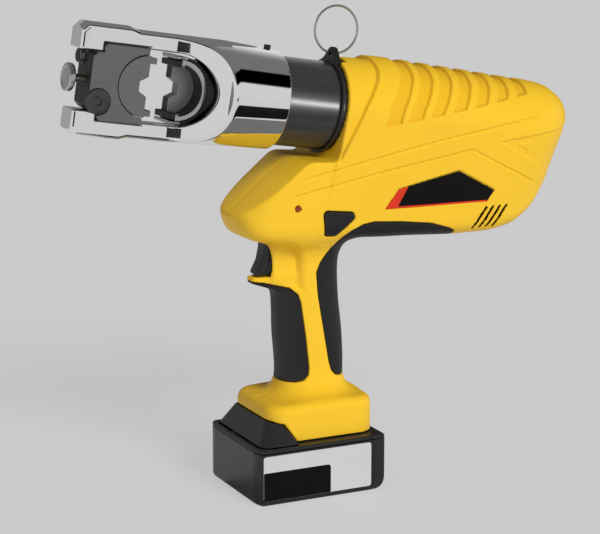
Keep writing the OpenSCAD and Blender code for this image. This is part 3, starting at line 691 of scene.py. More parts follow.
def yoke_form(s, y, t):
    """Chromed fork: a turned bar with flat arms, a run-out into the sleeve and a hooked slot."""
    r = np.hypot(y, t)
    turned = polygon(YOKE_PROFILE, s, r)
    wide = np.abs(y)
    runout = np.hypot(s - RUNOUT_S, wide - ARM_HALF - RUNOUT_R) - RUNOUT_R
    flats = np.minimum(np.maximum(s - RUNOUT_S, ARM_HALF - wide), runout)
    d = smooth_max(turned, -flats, 2.6)
    high = np.abs(t)
    mouth = np.maximum(high - MOUTH_HALF, s - MOUTH_END)
    wings = np.maximum(high - WING_HALF, np.maximum(WING_FRONT - s, s - WING_END))
    rear = np.maximum(high - SLOT_R, np.maximum(SLOT_FRONT - s, s - SLOT_END))
    slot = np.minimum(np.minimum(mouth, wings), np.minimum(rear, np.hypot(s - SLOT_END, t) - SLOT_R))
    d = smooth_max(d, -slot, 1.2)
    rod_bore = bar(s, y, t, SLOT_END, ROD_BORE_END, ROD_BORE_R)
    bores = np.minimum(rod_bore, bar(s, y, t, *SLEEVE_BORE, SLEEVE_BORE_R))
    hole = np.maximum(np.hypot(s - SET_SCREW_S, y) - SET_SCREW_R, SET_SCREW_LOW - t)
    return smooth_max(d, -np.minimum(bores, hole), 0.8)


def gate_form(s, y, t):
    """Sliding gate: a T-shaped block with the outer die's seat, the pin's bore and the screw's pocket."""
    parts = [
        block(s, y, t, (front, -GATE_HALF, -high), (GATE_END, GATE_HALF, high))
        for front, high in ((GATE_TIP, GATE_TIP_HALF), (GATE_WINGS, GATE_WING_HALF))
    ]
    d = smooth_max(np.minimum(*parts), np.abs(y) - GATE_HALF, 1.2)
    d = smooth_max(d, (np.abs(t) - s - GATE_CHAMFER) / math.sqrt(2), 1)
    stub = np.hypot(y - BOSS[0], t - BOSS[1]) - BOSS_R
    d = smooth_min(d, smooth_max(stub, np.maximum(BOSS_FRONT - s, s - BOSS_END), 1.2), 1)
    seat = np.hypot(s - OUTER_S, t) - SEAT_R
    pin = np.minimum(*[bar(s, y, t, PIN_FRONT, end, r) for end, r in PIN_BORES])
    pocket = np.maximum(np.hypot(s - POCKET[0], t - POCKET[1]) - POCKET_R, y - POCKET_FLOOR)
    return smooth_max(d, -np.minimum(np.minimum(seat, pin), pocket), 0.9)


def die_form(web, face=1):
    """Half die in its own frame, opening toward -s: a half shell with a web across part of its width."""

    def form(s, y, t):
        y = y * face
        r = np.hypot(s, t)
        shell = np.maximum(np.maximum(r - DIE_R, -s), np.abs(y) - DIE_HALF)
        hollow = np.maximum(r - DIE_HOLLOW_R, y - web)
        d = smooth_max(shell, -hollow, 0.9)
        start, end = EAR_SPAN
        ears = block(s, y, np.abs(t), (start, -DIE_HALF, DIE_EAR[0]), (end, DIE_HALF, DIE_EAR[1]))
        d = np.minimum(d, ears)
        flat = SIX_SIDE * SIX_FLAT
        six = np.maximum(np.abs(t) * SIX_FLAT + np.abs(s) * 0.5 - flat, np.abs(s) - flat)
        d = smooth_max(d, -six, 0.5)
        return smooth_max(d, np.abs(y) - DIE_HALF, 0.9)

    return form


def shift(form, ds, turn=1):
    """The same form moved along the barrel, turned about when turn is -1."""
    return lambda s, y, t: form((s - ds) * turn, y * turn, t)


def cradle_form(s, y, t):
    """Ram head that carries the inner die, with its rod."""
    q = s - INNER_S
    r = np.hypot(q, t)
    round_part = np.maximum(np.maximum(r - CRADLE_R, 1 - q), np.abs(y) - GATE_HALF)
    start, end = EAR_SPAN
    lips = block(q, y, np.abs(t), (start, -GATE_HALF, CRADLE_LIP), (end, GATE_HALF, CRADLE_R))
    d = np.minimum(round_part, lips)
    d = smooth_max(d, np.abs(y) - GATE_HALF, 1)
    d = smooth_max(d, CRADLE_SEAT_R - r, 0.6)
    rod = np.maximum(bar(s, y, t, *ROD_SPAN, ROD_R), CRADLE_SEAT_R - r)
    piston = bar(s, y, t, *PISTON_SPAN, PISTON_R)
    groove = np.maximum(GROOVE_R - np.hypot(y, t), np.maximum(GROOVE_SPAN[0] - s, s - GROOVE_SPAN[1]))
    return smooth_min(d, np.minimum(rod, np.maximum(piston, -groove)), 2)


# Collar: radii, front, gap to the housing's rim, and the lug's place, half thickness and ring hole
COLLAR_R = 36.8
COLLAR_BORE_R = 34.28
COLLAR_FRONT = 13.9
COLLAR_GAP = 0.25
LUG_S = 18.4
LUG_T = 41
LUG_HALF = 2.7
LUG_HOLE_R = 1.75
# Lug seen from the front: a wide root at one height under a round top, and the lean of its front
LUG_ROOT_T = 29
LUG_ROOT_R = 13
LUG_TOP_R = 5
LUG_LEAN = 0.3
LUG_LEAN_T = 38


def collar_form(s, y, t):
    """Collar round the cylinder with its lug for the strap ring."""
    r = np.hypot(y, t)
    ring = smooth_max(r - COLLAR_R, np.maximum(COLLAR_FRONT - s, COLLAR_GAP - rim_form(s, y, t)), 1)
    fin = capsule(np.abs(y), t, (0 * s, LUG_ROOT_T), LUG_ROOT_R, (0 * s, LUG_T), LUG_TOP_R)
    lean = LUG_S - LUG_HALF - np.maximum(LUG_LEAN_T - t, 0) * LUG_LEAN
    fin = smooth_max(fin, np.maximum(lean - s, s - LUG_S - LUG_HALF), 1.4)
    d = smooth_min(ring, fin, 1)
    d = smooth_max(d, LUG_HOLE_R - np.hypot(y, t - LUG_T), 0.5)
    return np.maximum(d, COLLAR_BORE_R - r)


# Trigger: outline from the side, half width, the groove along its sides, and its spring's well
TRIGGER = [
    (-30.6, 200.6), (-31.2, 193), (-33.2, 184), (-37.4, 176), (-37.8, 174.2), (-36, 172.6), (-22, 172.6),
    (-19, 200.6),
]
TRIGGER_HALF = 8.5
GROOVE_Y = 8.6
GROOVE_HALF = 0.9
GROOVE_Z = [173, 184, 193, 201]
GROOVE_X = [-30.5, -27, -25, -24.5]
WELL_Z = 188
WELL_R = 4.2
WELL_X = -30


def trigger_form(x, y, z):
    """Trigger with a hollowed front."""
    d = smooth_max(polygon(TRIGGER, x, z), np.abs(y) - TRIGGER_HALF, 4.5)
    groove = np.hypot(np.abs(y) - GROOVE_Y, x - np.interp(z, GROOVE_Z, GROOVE_X)) - GROOVE_HALF
    d = smooth_max(d, -groove, 0.6)
    well = np.maximum(np.hypot(y, z - WELL_Z) - WELL_R, WELL_X - x)
    return np.maximum(d, -well)


def key_outline(x, z):
    """Distance to the button's outline with its corners rounded."""
    return polygon(KEY_CORE, x, z) - KEY_R


def button_form(x, y, z):
    """Oil release button, a little proud of the side it sits in."""
    d = smooth_max(plain_form(x, y, z) - KEY_PROUD, key_outline(x, z), 2.2)
    return np.maximum(d, y - KEY_BACK)


# Battery: half length and width, rear corners, depth and width of the front ones, the box's top and hollow
BATT_X = 55.5
BATT_Y = 48
BATT_CORNER = 4.5
CORNER_DEEP = 5
CORNER_WIDE = 13
CASE_TOP = 41.8
CASE_IN = (53.3, 45, 5)
CASE_FLOOR = 2.2
# Round at the box's lower rear edge: the place where it starts and its radius
TOE_X = 42.5
TOE_R = 13
# Side plates: middle, half sizes and corners of the frame line and of the pocket, and the pocket's floor
SIDE_X = -4.65
SIDE_Z = 22
FRAME_LINE = (48.8, 20, 3)
SIDE_POCKET = (46.9, 18.1, 2.5)
POCKET_Y = 47
FRAME_DEPTH = 0.7
FRAME_HALF = 1.1
FRAME_FLAT = 0.05
FRAME_SIDE = (44, 46)
# Lid: its deck's top and underside, the neck and head of the rail block, and the slots of the contacts
DECK_TOP = 45
DECK_LOW = 42.05
RAIL_NECK = ((-19, -27.8, 43), (44, 27.8, 56))
RAIL_HEAD = ((-19, -32.4, 51.4), (44, 32.4, 62.4))
CONTACT_SLOT = ((5, 8, 55), (50, 12, 70))
# Catch: its foot's front, rear and half width, how it draws in, its outline, its gap and its springs' wells
WEDGE_FRONT = -50.8
WEDGE_REAR = 20
WEDGE_HALF = 44.8
WEDGE_CORNER = 9
WEDGE_DRAW = 0.58
WEDGE_GAP = 0.45
WEDGE_WELL_END = -19.5
WEDGE = [(-60, 44.9), (-60, 62.6), (-40.5, 62.6), (-29.2, 60), (-20.3, 47.6), (-20.3, 44.9)]
WEDGE_WELL = (-36, 20)
WEDGE_WELL_R = 4.6
WEDGE_WELL_TOP = 57


def battery_plan(x, y):
    """Battery seen from above: tight rear corners, and front corners drawn out along the front."""
    d = rounded_box(x, y, -BATT_X, BATT_X, BATT_Y, BATT_CORNER)
    u = np.minimum(x + BATT_X - CORNER_DEEP, 0) / CORNER_DEEP
    v = np.maximum(np.abs(y) - BATT_Y + CORNER_WIDE, 0) / CORNER_WIDE
    f = np.hypot(u, v)
    corner = (f - 1) * f / np.maximum(np.hypot(u / CORNER_DEEP, v / CORNER_WIDE), 1e-6)
    return np.where((u < 0) & (v > 0), np.maximum(d, corner), d)


def case_form(x, y, z):
    """Battery box: rounded, with a raised frame round each side plate."""
    d = smooth_max(battery_plan(x, y), -z, 3)
    toe = np.hypot(np.maximum(x - TOE_X, 0), np.minimum(z - TOE_R, 0)) - TOE_R
    d = smooth_max(d, np.where((x > TOE_X) & (z < TOE_R), toe, -TOE_R), 0.5)
    d = np.maximum(d, z - CASE_TOP)
    u, v = x - SIDE_X, z - SIDE_Z
    frame_line = np.abs(rounded_box(u, v, -FRAME_LINE[0], *FRAME_LINE)) - FRAME_FLAT
    d = d + FRAME_DEPTH * ramp(FRAME_HALF, 0, frame_line) * ramp(*FRAME_SIDE, np.abs(y))
    plate = np.maximum(rounded_box(u, v, -SIDE_POCKET[0], *SIDE_POCKET), POCKET_Y - np.abs(y))
    d = smooth_max(d, -plate, 0.5)
    inner = np.maximum(rounded_box(x, y, -CASE_IN[0], *CASE_IN), CASE_FLOOR - z)
    return np.maximum(d, -inner)


def wedge_plan(x, y, z):
    """Battery catch seen from above at a height: it draws in as it rises."""
    inset = WEDGE_DRAW * (z - DECK_TOP)
    return rounded_box(x, y, WEDGE_FRONT + inset, WEDGE_REAR, WEDGE_HALF - inset, WEDGE_CORNER)


def lid_form(x, y, z):
    """Battery lid with the rail block that slides into the foot."""
    deck = smooth_max(battery_plan(x, y), z - DECK_TOP, 2.4)
    deck = np.maximum(deck, DECK_LOW - z)
    head = np.minimum(block(x, y, z, *RAIL_NECK), block(x, y, z, *RAIL_HEAD))
    well = np.maximum(wedge_plan(x, y, DECK_TOP) - WEDGE_GAP, x - WEDGE_WELL_END)
    d = np.minimum(np.maximum(deck, -well), head)
    return np.maximum(d, -block(x, np.abs(y), z, *CONTACT_SLOT))


def latch_form(x, y, z):
    """Battery catch: a hipped wedge that rises from the battery into the foot."""
    d = smooth_max(wedge_plan(x, y, z) / math.hypot(1, WEDGE_DRAW), polygon(WEDGE, x, z), 1.6)
    wells = np.hypot(x - WEDGE_WELL[0], np.abs(y) - WEDGE_WELL[1]) - WEDGE_WELL_R
    return np.maximum(d, -np.maximum(wells, z - WEDGE_WELL_TOP))


def eased(node, width):
    """A copy of a CAD node's mesh with its sharp edges eased by a small rounded bevel."""
    source = frame["nodes"][node].data
    work = bmesh.new()
    work.from_mesh(source)
    bmesh.ops.remove_doubles(work, verts=work.verts, dist=2e-6)
    bmesh.ops.dissolve_limit(work, angle_limit=math.radians(1), verts=work.verts, edges=work.edges)
    sharp = [
        e for e in work.edges if len(e.link_faces) == 2 and e.calc_face_angle(0) > math.radians(32)
    ]
    bmesh.ops.bevel(
        work, geom=sharp, offset=width * MM, segments=2, profile=0.5, affect="EDGES", clamp_overlap=True
    )
    mesh = bpy.data.meshes.new(node + "_eased")
    work.to_mesh(mesh)
    work.free()
    mesh.shade_smooth()
    mesh.set_sharp_from_angle(angle=math.radians(30))
    return placed(node + "_eased", mesh)


def panel(name, outline, y0, y1, ease):
    """A flat plate over an outline of x and z, between two depths, with eased edges."""
    work = bmesh.new()
    near = [work.verts.new((x * MM, y0 * MM, z * MM)) for x, z in outline]
    face = work.faces.new(near)
    grown = bmesh.ops.extrude_face_region(work, geom=[face])
    moved = [v for v in grown["geom"] if isinstance(v, bmesh.types.BMVert)]
    bmesh.ops.translate(work, verts=moved, vec=(0, (y1 - y0) * MM, 0))
    bmesh.ops.recalc_face_normals(work, faces=work.faces)
    rim = [e for e in work.edges if e.calc_face_angle(0) > math.radians(50)]
    bmesh.ops.bevel(work, geom=rim, offset=ease * MM, segments=2, profile=0.5, affect="EDGES")
    mesh = bpy.data.meshes.new(name)
    work.to_mesh(mesh)
    work.free()
    return placed(name, mesh)


def round_corners(points, reach, n=5):
    """Closed outline with each corner cut to an arc that starts at its own reach from it."""
    out = []
    for i, p in enumerate(points):
        p = Vector(p)
        a = p + (Vector(points[i - 1]) - p).normalized() * reach[i]
        b = p + (Vector(points[(i + 1) % len(points)]) - p).normalized() * reach[i]
        for k in range(n + 1):
            u = k / n
            q = a * (1 - u) ** 2 + p * 2 * u * (1 - u) + b * u * u
            out.append((q.x, q.y))
    return out


# A decal looks for the housing's surface between these depths in Y, by halving
DECAL_NEAR = 5.0
DECAL_FAR = 50.0
HALVINGS = 24


def decal(name, outline, side, proud, depth, step):
    """A thin sheet laid on one side of the housing over a convex outline of x and z."""
    xs, zs = (np.array([q[i] for q in outline], float) for i in (0, 1))
    levels = np.unique(np.concatenate([zs, np.arange(zs.min(), zs.max(), step)]))
    count = int(np.ptp(xs) / step) + 2
    rows = []
    for z in levels:
        hits = []
        for a, b in zip(outline, outline[1:] + outline[:1]):
            if min(a[1], b[1]) <= z <= max(a[1], b[1]) and a[1] != b[1]:
                hits.append(a[0] + (b[0] - a[0]) * (z - a[1]) / (b[1] - a[1]))
        rows.append(np.linspace(min(hits), max(hits), count))
    x = np.array(rows)
    z = np.repeat(levels[:, None], count, 1)
    near, far = np.full(x.shape, DECAL_NEAR), np.full(x.shape, DECAL_FAR)
    for _ in range(HALVINGS):
        middle = (near + far) / 2
        inside = plain_form(x, side * middle, z) < proud
        near, far = np.where(inside, middle, near), np.where(inside, far, middle)
    y = side * near
    top = np.stack([x, y, z], 2).reshape(-1, 3)
    low = np.stack([x, y - side * depth, z], 2).reshape(-1, 3)
    grid = np.arange(x.size).reshape(x.shape)
    face = np.stack([grid[:-1, :-1], grid[:-1, 1:], grid[1:, 1:], grid[1:, :-1]], -1).reshape(-1, 4)
    rim = np.concatenate([grid[0, :-1], grid[:-1, -1], grid[-1, :0:-1], grid[:0:-1, 0]])
    after = np.roll(rim, -1)
    wall = np.stack([rim, rim + x.size, after + x.size, after], 1)
    faces = np.concatenate([face, face[:, ::-1] + x.size, wall])
    if side > 0:
        faces = faces[:, ::-1]
    thing = solid(name, np.concatenate([top, low]) * MM, faces)
    thing.data.set_sharp_from_angle(angle=math.radians(40))
    return thing


def wire(tree, kind, sockets, **settings):
    """Adds a shader node, whose named sockets each get a value or a link from another node."""
    made = tree.nodes.new("ShaderNode" + kind)
    for name, value in settings.items():
        setattr(made, name, value)
    plug(tree, made, sockets)
    return made


def plug(tree, node, sockets):
    """Sets named sockets of a shader node to a value, or links them to another node's output."""
    for name, value in sockets.items():
        if isinstance(value, bpy.types.NodeSocket):
            tree.links.new(value, node.inputs[name])
        else:
            node.inputs[name].default_value = value


COAT_ROUGH = 0.12
LEAST_ROUGH = 0.02
GRAIN_DEPTH = 0.4


def finish_of(
    name, colour, rough, metal=0.0, mottle=0.06, mottle_size=0.02, grain=0.0005, bump=0.05,
    rough_range=0.06, coat=0.0, shine=0.5,
):
    """Moulded, painted or metal finish: clouded colour, uneven gloss and a fine grain."""
    made = bpy.data.materials.new(name)
    made.use_nodes = True
    tree = made.node_tree
    where = wire(tree, "TexCoord", {}).outputs["Object"]
    cloud = wire(tree, "TexNoise", {"Scale": 1 / mottle_size, "Detail": 5, "Vector": where}).outputs["Fac"]
    dark = (*[c * (1 - mottle) for c in colour], 1)
    light = (*[min(1, c * (1 + mottle)) for c in colour], 1)
    tint = wire(tree, "Mix", {"A": dark, "B": light, "Factor": cloud}, data_type="RGBA")
    least, most = max(LEAST_ROUGH, rough - rough_range), rough + rough_range
    gloss = wire(tree, "MapRange", {"To Min": least, "To Max": most, "Value": cloud})
    fine = wire(tree, "TexNoise", {"Scale": 1 / grain, "Detail": 2, "Vector": where}).outputs["Fac"]
    relief = wire(tree, "Bump", {"Strength": bump, "Distance": grain * GRAIN_DEPTH, "Height": fine})
    plug(tree, tree.nodes["Principled BSDF"], {
        "Metallic": metal,
        "Coat Weight": coat,
        "Specular IOR Level": shine,
        "Coat Roughness": COAT_ROUGH,
        "Base Color": tint.outputs["Result"],
        "Roughness": gloss.outputs["Result"],
        "Normal": relief.outputs["Normal"],
    })
    return made


def knurled(made, size, depth):
    """Adds a dotted relief to a finish."""
    tree = made.node_tree
    relief = next(n for n in tree.nodes if n.type == "BUMP").outputs["Normal"]
    where = next(n for n in tree.nodes if n.type == "TEX_COORD").outputs["Object"]
    dots = wire(tree, "TexVoronoi", {"Scale": 1 / size, "Randomness": 0.3, "Vector": where})
    height = dots.outputs["Distance"]
    second = wire(tree, "Bump", {"Strength": 0.6, "Distance": depth, "Height": height, "Normal": relief})
    plug(tree, tree.nodes["Principled BSDF"], {"Normal": second.outputs["Normal"]})


# Name, colour, roughness, metal, clouding and its size in metres, grain, relief and spread of roughness
YELLOW = finish_of("yellow_plastic", (0.93, 0.565, 0.026), 0.42, 0.0, 0.03, 0.05, bump=0.06, shine=0.25)
# Darker yellow for the floors of the sunk bands: painted shade, with a rougher grain
YELLOW_PAINTED_SHADE = finish_of("yellow_painted_shade", (0.85, 0.5, 0.02), 0.5, 0.0, 0.04, 0.03, bump=0.1, shine=0.2)
RUBBER = finish_of("soft_rubber", (0.012, 0.012, 0.013), 0.55, mottle=0.15, grain=0.0009, bump=0.22)
BLACK = finish_of("black_plastic", (0.013, 0.013, 0.015), 0.42, mottle=0.12, grain=0.0007, bump=0.12)
BATTERY = finish_of("battery_plastic", (0.02, 0.02, 0.021), 0.4, mottle=0.12, grain=0.0008, bump=0.14)
CHROME = finish_of("chrome", (0.97, 0.97, 0.965), 0.04, 1.0, 0.01, 0.03, 0.0004, 0.003, 0.01)
DARK_STEEL = finish_of("dark_steel", (0.26, 0.26, 0.262), 0.42, 0.95, 0.1, 0.006, 0.0004, 0.05, 0.08)
DIE_STEEL = finish_of("die_steel", (0.28, 0.28, 0.28), 0.4, 0.95, 0.1, 0.006, 0.0004, 0.05, 0.08)
SCREW_STEEL = finish_of("screw_steel", (0.11, 0.11, 0.11), 0.4, 0.95, 0.15, 0.004, 0.0004, 0.08, 0.08)
# Lighter die steel for the near face of the inner die's web: painted light where the hollow shades it
WEB_PAINTED_LIGHT = finish_of("web_painted_light", (0.42, 0.42, 0.42), 0.5, 0.95, 0.06, 0.006, 0.0004, 0.04, 0.08)
# Near-black steel: painted shade on the gate's end and in the inner die's hollow; it also dresses the yoke's
# set screw
SHADE_STEEL = finish_of("shaded_steel", (0.05, 0.05, 0.05), 0.45, 0.9, 0.12, 0.005, 0.0004, 0.05, 0.08)
# Near-black brown for the walls inside the cooling slits: painted shade
VENT_PAINTED_SHADE = finish_of("vent_painted_shade", (0.02, 0.014, 0.006), 0.6, mottle=0.1)
OXIDE = finish_of("black_oxide", (0.03, 0.03, 0.031), 0.4, 0.8, 0.15, 0.005, 0.0004, 0.06, 0.08)
STEEL = finish_of("bright_steel", (0.56, 0.56, 0.55), 0.25, 1.0, 0.05, 0.008, 0.0003, 0.03, 0.07)
KNOB = finish_of("knob_steel", (0.6, 0.6, 0.58), 0.32, 1.0, 0.06, 0.004, 0.0003, 0.04, 0.08)
knurled(KNOB, size=0.0016, depth=0.0003)
CYLINDER = finish_of("black_cylinder", (0.06, 0.06, 0.062), 0.24, 0.6, 0.08, 0.02, 0.0004, 0.01, 0.04)
COLLAR = finish_of("collar_black", (0.014, 0.014, 0.015), 0.35, 0.0, 0.1, 0.01, 0.0006, 0.08, 0.06)
INK_BLACK = finish_of("label_black", (0.006, 0.0052, 0.005), 0.5, mottle=0.1, bump=0.02, shine=0.12)
INK_RED = finish_of("label_red", (0.72, 0.035, 0.006), 0.35, mottle=0.06, bump=0.02)
LABEL_SILVER = finish_of("label_silver", (0.6, 0.6, 0.6), 0.36, mottle=0.03, bump=0.02, coat=0.3)
LENS_RED = finish_of("lens_red", (0.28, 0.006, 0.006), 0.2, mottle=0.1, bump=0.01, coat=1.0)
SPRING = finish_of("spring_steel", (0.35, 0.35, 0.34), 0.3, 1.0, 0.08, 0.003, 0.0003, 0.03)
ALLOY = finish_of("cast_alloy", (0.45, 0.45, 0.46), 0.45, 1.0, 0.08, 0.006, 0.0008, 0.12)
COPPER = finish_of("copper_winding", (0.62, 0.26, 0.1), 0.35, 1.0, 0.15, 0.002, 0.0006, 0.3)
BOARD = finish_of("circuit_board", (0.01, 0.12, 0.04), 0.35, 0.0, 0.2, 0.004, 0.0006, 0.1)
BLADDER = finish_of("oil_rubber", (0.12, 0.05, 0.02), 0.5, 0.0, 0.15, 0.006, 0.0008, 0.15)
BRONZE = finish_of("bronze", (0.5, 0.3, 0.12), 0.35, 1.0, 0.08, 0.005, 0.0004, 0.05)
BUSH_BRONZE = finish_of("bush_bronze", (0.1, 0.08, 0.055), 0.45, 0.95, 0.1, 0.005, 0.0004, 0.05)
CELL = finish_of("cell_sleeve", (0.03, 0.12, 0.35), 0.3, 0.0, 0.08, 0.01, 0.0005, 0.02, coat=0.4)
BRASS = finish_of("contact_brass", (0.7, 0.48, 0.18), 0.28, 1.0, 0.06, 0.004, 0.0003, 0.03)


def part_finish(thing, made, test):
    """Gives a second finish to the faces whose centre and direction, in the barrel frame, pass a test."""
    thing.data.materials.append(made)
    count = len(thing.data.polygons)
    centre, look, slot = np.empty(count * 3), np.empty(count * 3), np.empty(count, np.int32)
    thing.data.polygons.foreach_get("center", centre)
    thing.data.polygons.foreach_get("normal", look)
    thing.data.polygons.foreach_get("material_index", slot)
    x, y, z = centre.reshape(-1, 3).T / MM
    s, t = to_barrel(x, z)
    along, across, up = look.reshape(-1, 3).T
    ahead = along * math.cos(PITCH) - up * math.sin(PITCH)
    above = along * math.sin(PITCH) + up * math.cos(PITCH)
    passed = test((s, y, t), (ahead, across, above))
    slot[passed] = len(thing.data.materials) - 1
    thing.data.polygons.foreach_set("material_index", slot)


def dress(thing, made):
    """Gives a piece one finish."""
    thing.data.materials.clear()
    thing.data.materials.append(made)
    return thing


def stand_for(thing, body, made, *nodes):
    """Dresses a piece, makes it ride on a body and hides the CAD nodes that it stands for."""
    dress(thing, made)
    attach(thing, body)
    if nodes:
        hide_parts(*nodes)
    return thing


def carved(name, form, low, high, step, body, made, node, tipped=False):
    """A new piece from a distance form, in place of a node."""
    return stand_for(shape(name, form, low, high, step, tipped), body, made, node)


def pressed_coil(node, body, joint):
    """A copy of a spring's mesh that rides on a body in place of its node; the joint is looked up but the
    spring keeps its shape.
    """
    slide = next(row for row in frame["record"]["behaviour"]["joints"] if row["name"] == joint)
    way = np.array(slide["axis"])
    mesh = frame["nodes"][node].data.copy()
    thing = stand_for(placed(node + "_coil", mesh), body, SPRING, node)
    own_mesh(thing)


# Finishes of the CAD nodes that stay as they are
KEPT = {
    "housing_screws": STEEL, "indicator_lens": LENS_RED, "swivel_ring": SPRING, "pump_block": ALLOY,
    "oil_bladder": BLADDER, "motor_can": STEEL, "gearbox_case": ALLOY, "control_board": BOARD,
    "trigger_switch": BLACK, "terminal_block": BLACK, "hydraulic_cylinder": CYLINDER, "rod_gland": BRONZE,
    "piston_seal": BLACK, "lanyard_ring": STEEL, "motor_rotor": COPPER,
    "eccentric_shaft": STEEL, "pump_plunger": STEEL, "battery_cells": CELL, "battery_terminals": BRASS,
}
for node, made in KEPT.items():
    dress(frame["nodes"][node], made)

# Springs, each with the joint that presses it
for node, body, joint in (
    ("trigger_spring", "housing", "trigger_pull"),
    ("button_spring", "housing", "oil_release_press"),
    ("plunger_spring", "housing", "plunger_stroke"),
    ("return_spring", "head", "ram_travel"),
    ("pin_spring", "die_gate", "die_pin_pull"),
    ("latch_spring", "battery", "battery_catch_press"),
):
    pressed_coil(node, body, joint)

# A slit's wall lies this near to the slit, this deep under the surface and this far from the middle
VENT_NEAR = 0.4
VENT_UNDER = 0.9
VENT_ASIDE = 15


def in_vent(place, look):
    """Whether a face of the housing lies in a cooling slit, where shade is painted."""
    s, y, t = place
    x = AXIS_X + s * math.cos(PITCH) + t * math.sin(PITCH)
    z = AXIS_Z - s * math.sin(PITCH) + t * math.cos(PITCH)
    deep = plain_form(x, y, z) < -VENT_UNDER
    return (vent_slits(x, z) < VENT_NEAR) & deep & (np.abs(y) > VENT_ASIDE)


# Mesh steps in millimetres: housing, head, battery and labels
FINE = 1.1
HEAD_STEP = 0.9
CELL_STEP = 1.1
LABEL_STEP = 1.2

# Housing, grips, labels and controls
HOUSING_X = (-66, 242)
HOUSING_Z = (43, 352)
for side, node, near, far in ((-1, "left_housing", -45, 1.5), (1, "right_housing", -1.5, 45)):
    low, high = zip(HOUSING_X, (near, far), HOUSING_Z)
    shell = carved(node + "_shell", housing(side), low, high, FINE, "housing", YELLOW, node)
    # Floors of the sunk bands get painted shade
    part_finish(shell, YELLOW_PAINTED_SHADE, lambda at, look: ribs(at[0], at[2]) > 0.5)
    # Walls inside the cooling slits get painted shade
    part_finish(shell, VENT_PAINTED_SHADE, in_vent)
for node, outline, low, high in (
    ("front_grip", FRONT_GRIP, (-46, -26, 84), (8, 26, 174)),
    ("rear_grip", REAR_GRIP, (4, -40, 84), (130, 40, 217)),
):
    carved(node + "_skin", skin(outline), low, high, FINE * 0.8, "housing", RUBBER, node)
for name, outline, proud, made, nodes in (
    ("label_face", LABEL_DARK, 0.1, INK_BLACK, ["side_plates"]),
    ("label_stripe", LABEL_RED, 0.05, INK_RED, ["plate_accents"]),
    ("label_line", LABEL_LINE, 0.05, INK_RED, []),
):
    for side, word in ((-1, "near"), (1, "far")):
        sheet = decal(f"{name}_{word}", outline, side, proud, LABEL_T, LABEL_STEP)
        stand_for(sheet, "housing", made, *nodes)
for name, form, low, high, body, node in (
    ("trigger_lever", trigger_form, (-41, -11, 170), (-17, 11, 203), "trigger_body", "trigger"),
    ("release_key", button_form, (3, -40, 201), (37, -22, 229), "oil_release", "release_button"),
):
    carved(name, form, low, high, FINE * 0.6, body, BLACK, node)

# Head
# Where the gate's painted shade begins, where the inner die's bright rim, painted shade and painted light
# lie, and where the ram's bright steel lies, along the barrel and across it
GATE_SHADE = -178
DIE_RIM_Y = -13.6
DIE_RIM_R = 19
DIE_LIP = -111.7
DIE_SIDE = 3.2
RAM_FACE = -108
RAM_ROD = -84


def in_rim(at, look):
    """Whether a face of the inner die lies on its bright near rim."""
    return (at[1] < DIE_RIM_Y) & (np.hypot(at[0] - INNER_S, at[2]) > DIE_RIM_R)


def in_shade(at, look):
    """Whether a face of the inner die lies on its lip or on the wall of its hollow, which get painted shade.
    """
    return (at[0] < DIE_LIP) | (np.abs(look[1]) < 0.5) & (at[1] < DIE_SIDE)


def in_web(at, look):
    """Whether a face of the inner die lies on the near side of its web, which gets painted light."""
    return (look[1] < -0.5) & (at[0] > DIE_LIP) & (np.abs(at[1] - DIE_WEB) < 1)


fork_box = ((-195, -44, -44), (-27, 44, 44))
fork = carved("fork", yoke_form, *fork_box, HEAD_STEP, "head", CHROME, "yoke", True)
gate_box = ((-188, -17, -31), (-136, 17, 31))
gate = carved("gate_block", gate_form, *gate_box, HEAD_STEP * 0.8, "die_gate", DARK_STEEL, "gate", True)
# The gate's end faces that look forward, away from the light, get painted shade
part_finish(gate, SHADE_STEEL, lambda at, look: (look[0] < -0.7) & (at[0] < GATE_SHADE))
die_step = HEAD_STEP * 0.7
inner_form = shift(die_form(DIE_WEB), INNER_S)
inner_box = ((-119, -17, -25), (-87, 17, 25))
inner = carved("inner_die_half", inner_form, *inner_box, die_step, "ram_slide", DIE_STEEL, "inner_die", True)
# Inner die: bright near rim, painted shade on its lip and in its hollow, painted light on its web
for made, test in ((STEEL, in_rim), (SHADE_STEEL, in_shade), (WEB_PAINTED_LIGHT, in_web)):
    part_finish(inner, made, test)
outer_form = shift(die_form(FULL_WEB), OUTER_S, -1)
outer_box = ((-162, -17, -25), (-129, 17, 25))
carved("outer_die_half", outer_form, *outer_box, die_step, "die_gate", DIE_STEEL, "outer_die", True)
ram_box = ((-120, -28, -30), (24, 28, 30))
ram = carved("ram_head", cradle_form, *ram_box, HEAD_STEP, "ram_slide", OXIDE, "ram", True)
part_finish(ram, STEEL, lambda at, look: (at[0] < RAM_FACE) | (at[0] > RAM_ROD))
collar_box = ((8, -40, -40), (28, 40, 51))
carved("strap_collar", collar_form, *collar_box, HEAD_STEP * 0.8, "housing", COLLAR, "lanyard_collar", True)
for node, body, made, width in (
    ("pull_pin", "die_pin", KNOB, 0.4),
    ("gate_stop_screw", "die_gate", SCREW_STEEL, 0.4),
    ("yoke_set_screw", "head", SHADE_STEEL, 0.3),
    ("pin_bush", "die_gate", BUSH_BRONZE, 0.2),
):
    stand_for(eased(node, width), body, made, node)

